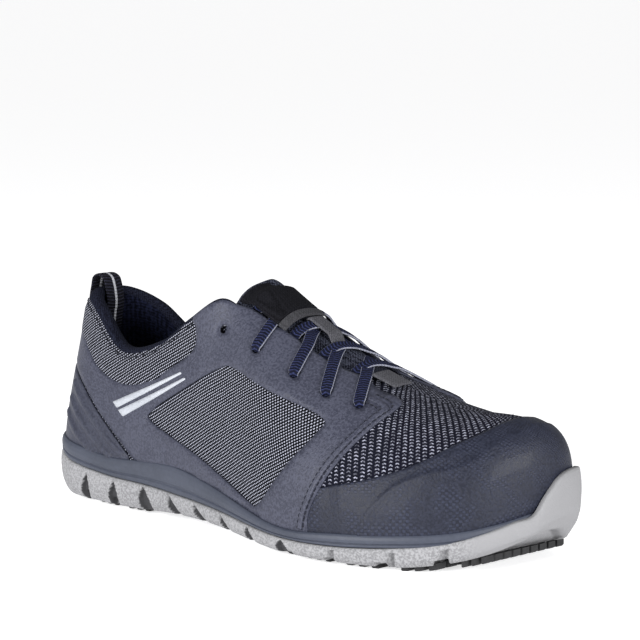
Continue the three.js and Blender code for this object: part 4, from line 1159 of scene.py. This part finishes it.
def band_panel(name, view, low_station, material, replaces, relief, heel):
    """A panel wrapped round the toe or the heel, below a side-view edge, on both sides."""
    columns = even_stations(1.4)
    columns = columns[columns <= low_station] if heel else columns[columns >= low_station]
    end = -1 if heel else 0
    w = np.linspace(0, 1, 34)
    band = Grids()
    for side in (OUTER, INNER):
        foot = np.array([rim_share(side, s) for s in columns])
        high = np.maximum(edge_by_station(side, view, columns), foot + 0.01)
        t = foot[:, None] * (1 - w) + high[:, None] * w
        s = columns[:, None] * np.ones(len(w))
        offset = GAP + OVERLAY + relief(s, wall_point(side, s, t))
        offset[:, -1] -= 0.4
        offset[:, 0] -= 0.3
        offset[end] -= 0.4
        top, bottom = skin(side, s, t, offset), skin(side, s, t, np.full(s.shape, FILM_UNDER))
        uv = np.stack([s * PER_STATION, t * PER_HEIGHT], -1)
        band.add(top, uv)
        band.add(bottom, uv)
        for edge in (np.s_[:, -1], np.s_[:, 0], np.s_[end]):
            band.add(np.stack([top[edge], bottom[edge]], 1), np.stack([uv[edge]] * 2, 1))
    return band.piece(name, material, replaces, weld=1e-5)


def view_distance(p, line):
    """Signed distance in the side view from a line, positive below it or in front of it."""
    q = np.stack([p[..., 0], p[..., 2]], -1).reshape(-1, 2)
    best = np.full(len(q), 1e9)
    sign = np.ones(len(q))
    for a, b in zip(line[:-1], line[1:]):
        d = b - a
        u = np.clip(((q - a) @ d) / (d @ d), 0, 1)
        r = q - (a + u[:, None] * d)
        dist = np.hypot(r[:, 0], r[:, 1])
        cross = d[0] * r[:, 1] - d[1] * r[:, 0]
        nearer = dist < best
        best = np.where(nearer, dist, best)
        sign = np.where(nearer, np.sign(cross), sign)
    return (best * sign).reshape(p.shape[:-1])


def build_toe_panel():
    line = open_curve(share(CAP_EDGE), 2.0)

    def relief(s, p):
        d = view_distance(p, line)
        tucked = -0.75 * (1 - ease(7.05, 7.35, s))
        return CAP_STEP * ease(-0.8, 0.8, d) + WELT_HEIGHT * np.exp(-(d / 1.1) ** 2) + tucked
    return band_panel("toe_film", TOE_EDGE, TOE_PANEL_FROM, TOE_FILM, ("toe_panel",), relief, heel=False)


def build_counter():
    ribs = [open_curve(share(line), 2.0) for line in RIB_LINES]

    def relief(s, p):
        height = np.zeros(p.shape[:-1])
        for line in ribs:
            d = np.abs(view_distance(p, line))
            height = np.maximum(height, RIB_HEIGHT * (1 - ease(0.9, 2.1, d)))
        return height
    return band_panel("heel_counter_film", COUNTER_EDGE, COUNTER_TO, COUNTER_FILM, ("heel_counter",),
                      relief, heel=True)


def hole_view(side, station, up, radius):
    """Side-view loop of an eyelet hole."""
    centre = wall_point(side, station, up)
    n = wall_normal(side, station, up)
    along = unit(np.cross(n, [0, 0, 1.0]))
    rise = np.cross(along, n)
    a = np.linspace(0, 2 * np.pi, 18, endpoint=False)[:, None]
    p = centre + radius * (np.cos(a) * along + np.sin(a) * rise)
    return np.stack([p[:, 0], p[:, 2]], -1)


def build_quarters():
    def relief(s, t, p):
        return 0.16 * np.sin(p[:, 0] * 0.11 + 1.3) * np.sin(p[:, 2] * 0.13 + 0.4)

    over = GAP + OVERLAY
    for side, word in SIDES:
        name = "quarter_panel_" + word
        loops = [closed_curve(share(view), 1.3) for view in (QUARTER, WINDOW)]
        loops += [hole_view(side, s, t, EYELET_RADIUS + 0.1) for s, t in EYELETS]
        fused_panel(name + "_film", side, loops, FILM, replaces=(name,), relief=relief)
        for k, bar in enumerate(BARS):
            corners = share(bar)
            loop = resample(np.vstack([corners, corners[:1]]), 1.0)[:-1]
            fused_panel(f"reflective_bar_{word}_{k}", side, [loop], REFLECT, low=over - 0.3,
                        high=over + BAR_HEIGHT, step=1.6, round_edge=0.1)


# Ribbons, stitches and small sewn pieces

def ribbon(name, points, ups, width, thickness, material, replaces=(), bulge=0.3, pinch=1.0):
    """A flat woven tape with rounded sides along points; pinch is its share of the width."""
    d = unit(np.gradient(points, axis=0))
    across = unit(np.cross(d, ups))
    up = unit(np.cross(across, d))
    angle = np.linspace(0, 2 * np.pi, 20, endpoint=False)
    c, s = np.cos(angle), np.sin(angle)
    x = np.sign(c) * np.abs(c) ** 0.55 * width / 2
    y = np.sign(s) * np.abs(s) ** 0.7 * thickness / 2
    y = y * (1 + bulge * (np.abs(np.abs(x) / (width / 2) - 0.82) < 0.2))
    shares = np.ones(len(points)) * pinch
    ring = (points[:, None] + across[:, None] * (x[None, :] * shares[:, None])[..., None]
            + up[:, None] * y[None, :, None])
    n = len(angle)
    last = (len(points) - 1) * n
    uv = np.stack(np.broadcast_arrays(arc(points)[:, None], (x / (width / 2))[None, :]), -1)
    faces = []
    for start in range(0, last, n):
        for k in range(n):
            a, b = start + k, start + (k + 1) % n
            faces.append([a, b, b + n, a + n])
    faces += [list(range(n))[::-1], [last + k for k in range(n)]]
    return new_piece(name, ring.reshape(-1, 3), faces, material, replaces, uv=uv.reshape(-1, 2), weld=0)


def throat_edge(side, x):
    """The station at which the throat's edge passes a length."""
    s = np.linspace(THROAT_START, THROAT_FRONT, 400)
    return np.interp(x, top_x(s), s)


def on_crown(x, off, height):
    return np.array([x, float(crown_y(x)) + off, float(crown_height(x, off)) + height])


def crown_normal(x, off):
    slope = float(crown_z(x + 1) - crown_z(x - 1)) / 2
    across = float(crown_height(x, off + 1) - crown_height(x, off - 1)) / 2
    return unit(np.array([-slope, -across, 1.0]))


def lace_path(side, i):
    """From a hole over the eyestay and the tongue, and in under the other edge."""
    hole = wall_point(side, *EYELETS[i])
    n = wall_normal(side, *EYELETS[i])
    x_near = hole[0] - LACE_LEAN[i]
    x_far = LACE_ENTRY[side][i]
    near = wall_point(side, throat_edge(side, x_near), 1.0)
    near_n = wall_normal(side, throat_edge(side, x_near), 0.96)
    far = wall_point(-side, throat_edge(-side, x_far), 1.0)
    stand = GAP + OVERLAY + LACE_THICK / 2 + 0.15
    toward = unit(near - hole)
    heights, arch = LACE_UNDER, 0
    if side == INNER:
        heights, arch = (LACE_LABEL if i == 1 else LACE_OVER), LACE_ARCH
    path = [(hole + n * (level * stand + height) + toward * ahead, n - toward * lean)
            for level, height, ahead, lean in LACE_HOLE]
    path.append((lerp(hole, near, 0.6) + unit(n + near_n) * (stand + 0.5 + 0.5 * arch), n + near_n))
    path.append((near + near_n * (stand + 0.25 + arch), near_n))
    off_near, off_far = (p[1] - float(crown_y(p[0])) for p in (near, far))
    for along, height in heights:
        x = lerp(near[0], far[0], along)
        off = lerp(off_near, off_far, along)
        path.append((on_crown(x, off, height), crown_normal(x, off)))
    pts = np.array([p for p, _ in path])
    ups = unit(np.array([up for _, up in path]))
    run = arc(pts)
    u = np.linspace(0, run[-1], int(run[-1] / 0.7))
    smooth = np.stack([through(run, pts[:, k])(u) for k in range(3)], -1)
    turned = np.stack([np.interp(u, run, ups[:, k]) for k in range(3)], -1)
    pinch = lerp(0.6, 1.0, ease(2.2, 8.0, u))
    return smooth, unit(turned), pinch


def build_laces():
    for i in range(1, len(EYELETS)):
        for side, word in SIDES:
            points, ups, pinch = lace_path(side, i)
            ribbon(f"lace_{word}_{i}", points, ups, LACE_WIDTH, LACE_THICK, LACE, (f"lace_crossing_{i}",),
                   pinch=pinch)


def crown_sheet(name, ends, half, low, high, material, replaces=(), middle=0.0, rows=40, columns=36,
                edge=1.2, corner=2.0):
    """A soft sheet over the instep with rounded edges; ends are shares of the length, half is
    its half width, as one number or by length, and low and high are its heights."""
    x_low, x_high = ends[0] * SOLE_LENGTH, ends[1] * SOLE_LENGTH
    i, j = np.meshgrid(np.linspace(0, 1, rows), np.linspace(-1, 1, columns), indexing="ij")
    x = lerp(x_low, x_high, i)
    end = np.minimum(i, 1 - i) * (x_high - x_low)
    pull = np.clip(1 - end / corner, 0, 1)
    width = (half(x) if callable(half) else half) - corner * (1 - np.sqrt(np.clip(1 - pull**2, 0, 1)))
    off = middle + width * j
    inset = np.minimum(end, (1 - np.abs(j)) * width)
    soft = np.sqrt(np.clip(1 - (1 - np.clip(inset / edge, 0, 1)) ** 2, 0, 1))
    zl, zh = low(x, off), high(x, off)
    mid = (zl + zh) / 2
    layers = [pack(x, crown_y(x) + off, lerp(mid, z, soft)).reshape(-1, 3) for z in (zh, zl)]
    faces = grid_faces(rows, columns)
    faces += [[b + rows * columns for b in f[::-1]] for f in faces]
    uv = np.stack([x, off], -1).reshape(-1, 2)
    return new_piece(name, np.concatenate(layers), faces, material, replaces, uv=np.vstack([uv, uv]),
                     weld=1e-5)


def build_tongue():
    s = np.linspace(THROAT_START, THROAT_FRONT, 200)

    def beyond(x, off):
        edge = np.interp(x, top_x(s), top_off(s))
        return ease(0, 6, np.abs(off) - edge + 3.0)

    def high(x, off):
        full = 0.5 * np.cos(off / 9.0) * (1 - beyond(x, off))
        for at, side, long, wide, height in TONGUE_FULL:
            full = full + height * np.exp(-((x - at) / long) ** 2 - ((off - side) / wide) ** 2)
        return crown_height(x, off) + TONGUE_TOP + full - 0.004 * off**2 - 2.6 * beyond(x, off)

    def low(x, off):
        return crown_height(x, off) + TONGUE_TOP - TONGUE_THICK

    def half(x):
        return BALL_WIDTH * lerp(*TONGUE_HALF, ease(0.435 * SOLE_LENGTH, 0.7 * SOLE_LENGTH, x))
    tongue = crown_sheet("tongue_cloth", TONGUE_ENDS, half, low, high, TONGUE_CLOTH, ("tongue",),
                         rows=90, columns=50, edge=3.0, corner=9.0)


def sewn_piece(name, ends, form, rows, material, replaces, edge, corner):
    """A small sheet on the tongue that bridges the laces."""
    rise, start, full, end = form["bridge"]

    def height(x, off, extra):
        over = rise * (ease(start, full, x) * (1 - ease(end - 4, end, x)))
        return crown_height(x, off) + TONGUE_TOP + 0.5 + extra + over

    def low(x, off):
        return height(x, off, 0.2)

    def high(x, off):
        return height(x, off, 0.2 + form["thick"])
    crown_sheet(name, ends, form["half"], low, high, material, replaces, form["side"], rows,
                form["columns"], edge, corner)


def build_label():
    sewn_piece("tongue_label_cloth", LABEL_ENDS, LABEL_FORM, 40, LABEL, ("tongue_label",), 0.6, 1.0)
    sewn_piece("tongue_label_end", LABEL_STRIP_ENDS, LABEL_FORM, 12, LABEL_END, (), 0.5, 0.5)


def build_keeper():
    sewn_piece("lace_keeper_strap", KEEPER_ENDS, KEEPER_FORM, 30, TAG, ("lace_keeper",), 0.5, 1.0)


def build_tag():
    def low(x, off):
        return crown_height(x, off) + OVERLAY + 2 * GAP + 5 * (off / CROWN_SPAN) ** 2

    def high(x, off):
        return low(x, off) + TAG_THICK
    crown_sheet("throat_tag_cloth", TAG_ENDS, TAG_HALF, low, high, TAG, ("throat_tag",), TAG_SIDE, 18, 16,
                0.5, 1.0)


def build_pull_loop():
    outside = OVERLAY + 2 * GAP
    inner = -(WALL + COLLAR_PAD + GAP + LOOP_EASE)
    top = skin(OUTER, 0.0, 1.0, 0.0)
    reach = skin(OUTER, 0.0, 1.0, inner)[0] - top[0]
    legs = [skin(OUTER, 0.0, t, outside + LOOP_THICK / 2) for t in LOOP_OUTSIDE]
    arch = [np.array([top[0] + a * reach, top[1], top[2] + b * LOOP_STAND + 0.4]) for a, b in LOOP_OVER]
    back = [skin(OUTER, 0.0, t, inner - LOOP_THICK / 2) for t in LOOP_INSIDE]
    points = open_curve(np.array([*legs, *arch, *back]), 0.9)
    d = unit(np.gradient(points, axis=0))
    ups = unit(np.cross(np.array([[0, 1.0, 0]] * len(points)), d)) * -1
    ribbon("pull_loop_webbing", points, ups, LOOP_WIDTH, LOOP_THICK, LOOP, ("pull_loop",), bulge=0.1)


def build_insole():
    def ring(inset, up):
        def at(side, s):
            x = plan_x(s)
            inwards = UPPER_INSET + bumper("tuck", side, s) + WALL + inset
            return outline(side, s, -inwards, bed(x) + 2 * GAP + up)
        return at
    rings = [ring(inset, up) for inset, up in INSOLE_RINGS]
    insole = lofted("insole_cloth", rings, LINING, even_stations(2.0), ("insole",), across=20)


def stitches(name, lines):
    """Short thread capsules along lines of points with their normals."""
    points, faces = [], []
    n = STITCH_SIDES
    for p, normals in lines:
        run = arc(p)
        for at in np.arange(STITCH_PITCH / 2, run[-1], STITCH_PITCH):
            marks = [at + k * STITCH_LENGTH for k, _, _ in STITCH_FORM]
            ends = [np.array([np.interp(mark, run, p[:, a]) for a in range(3)]) for mark in marks]
            up = unit(np.array([np.interp(at, run, normals[:, a]) for a in range(3)]))
            across = np.cross(unit(ends[3] - ends[0]), up)
            start = len(points)
            for end, (_, rise, full) in zip(ends, STITCH_FORM):
                for k in range(n):
                    a = 2 * math.pi * k / n
                    turn = math.cos(a) * across + math.sin(a) * up
                    points.append(end + up * rise + STITCH_RADIUS * full * turn)
            for row in range(start, start + 3 * n, n):
                for k in range(n):
                    a, b = row + k, row + (k + 1) % n
                    faces.append([a, b, b + n, a + n])
            faces.append([start + k for k in range(n)][::-1])
            faces.append([start + 3 * n + k for k in range(n)])
    return new_piece(name, np.array(points), faces, THREAD, weld=0)


def on_wall(side, view, offset, shift):
    """A line of the side view laid on the wall, with its normals."""
    line = open_curve(share(view), 0.8)
    d = unit(np.gradient(line, axis=0))
    line = line + np.stack([-d[:, 1], d[:, 0]], -1) * shift
    s, t = side_map[side](line).T
    return skin(side, s, t, np.full(len(s), float(offset))), wall_normal(side, s, t)


def build_seams():
    lines = []
    for side, word in SIDES:
        for shift in SEAM_SHIFTS:
            lines.append(on_wall(side, FRONT_EDGE, GAP + OVERLAY + 0.15, shift))
        points, normals = on_wall(side, FRONT_EDGE, GAP + OVERLAY + 0.1, TAPE_SHIFT)
        ribbon(f"front_edge_tape_{word}", points, normals, TAPE_WIDTH, TAPE_THICK, FILM, bulge=0.0)
        s = np.linspace(*COLLAR_SEAM, 260)
        t = np.full(len(s), COLLAR_SEAM_UP)
        lines.append((skin(side, s, t, puff(s, t) + 0.1), wall_normal(side, s, t)))
    stitches("stitches", lines)


# Scene

def build_camera():
    a, e = math.radians(CAMERA_AZIMUTH), math.radians(CAMERA_ELEVATION)
    back = Vector((math.sin(a) * math.cos(e), -math.cos(a) * math.cos(e), math.sin(e)))
    data = bpy.data.cameras.new("camera")
    data.lens = CAMERA_LENS
    data.sensor_width = SENSOR_WIDTH
    cam = bpy.data.objects.new("camera", data)
    bpy.context.scene.collection.objects.link(cam)
    target = Vector((np.array(CAMERA_TARGET) + SHIFT).tolist()) * 0.001
    cam.location = target + back * (CAMERA_DISTANCE * 0.001)
    cam.rotation_mode = "QUATERNION"
    cam.rotation_quaternion = (-back).to_track_quat("-Z", "Y")
    data.clip_start, data.clip_end = 0.05, 50
    bpy.context.scene.camera = cam


def area_light(name, place, size, power):
    data = bpy.data.lights.new(name, "AREA")
    data.shape = "RECTANGLE"
    data.size, data.size_y = size
    data.energy = power
    o = bpy.data.objects.new(name, data)
    bpy.context.scene.collection.objects.link(o)
    o.location = place
    o.rotation_mode = "QUATERNION"
    o.rotation_quaternion = (Vector(LIGHT_TARGET) - Vector(place)).to_track_quat("-Z", "Y")


def build_studio():
    m = Nodes("studio floor", 0.9, specular=0.1)
    m.color((0.93, 0.93, 0.94))
    m.shader.inputs["Emission Color"].default_value = (1, 1, 1, 1)
    m.shader.inputs["Emission Strength"].default_value = FLOOR_GLOW
    mesh = bpy.data.meshes.new("floor")
    corners = [(-1, -1), (1, -1), (1, 1), (-1, 1)]
    mesh.from_pydata([(x * FLOOR_HALF, y * FLOOR_HALF, 0) for x, y in corners], [], [(0, 1, 2, 3)])
    mesh.materials.append(m.material)
    floor = bpy.data.objects.new("floor", mesh)
    bpy.context.scene.collection.objects.link(floor)
    world = bpy.data.worlds.new("studio")
    world.use_nodes = True
    world.node_tree.nodes["Background"].inputs[0].default_value = (1, 1, 1, 1)
    world.node_tree.nodes["Background"].inputs[1].default_value = SKY
    bpy.context.scene.world = world
    for light in LIGHTS:
        area_light(*light)
    bpy.context.scene.view_settings.view_transform = "Standard"


build_outsole()
build_midsole()
build_pads()
build_upper()
build_toe_panel()
build_counter()
build_quarters()
build_insole()
build_tongue()
build_label()
build_keeper()
build_tag()
build_laces()
build_pull_loop()
build_seams()
build_camera()
build_studio()
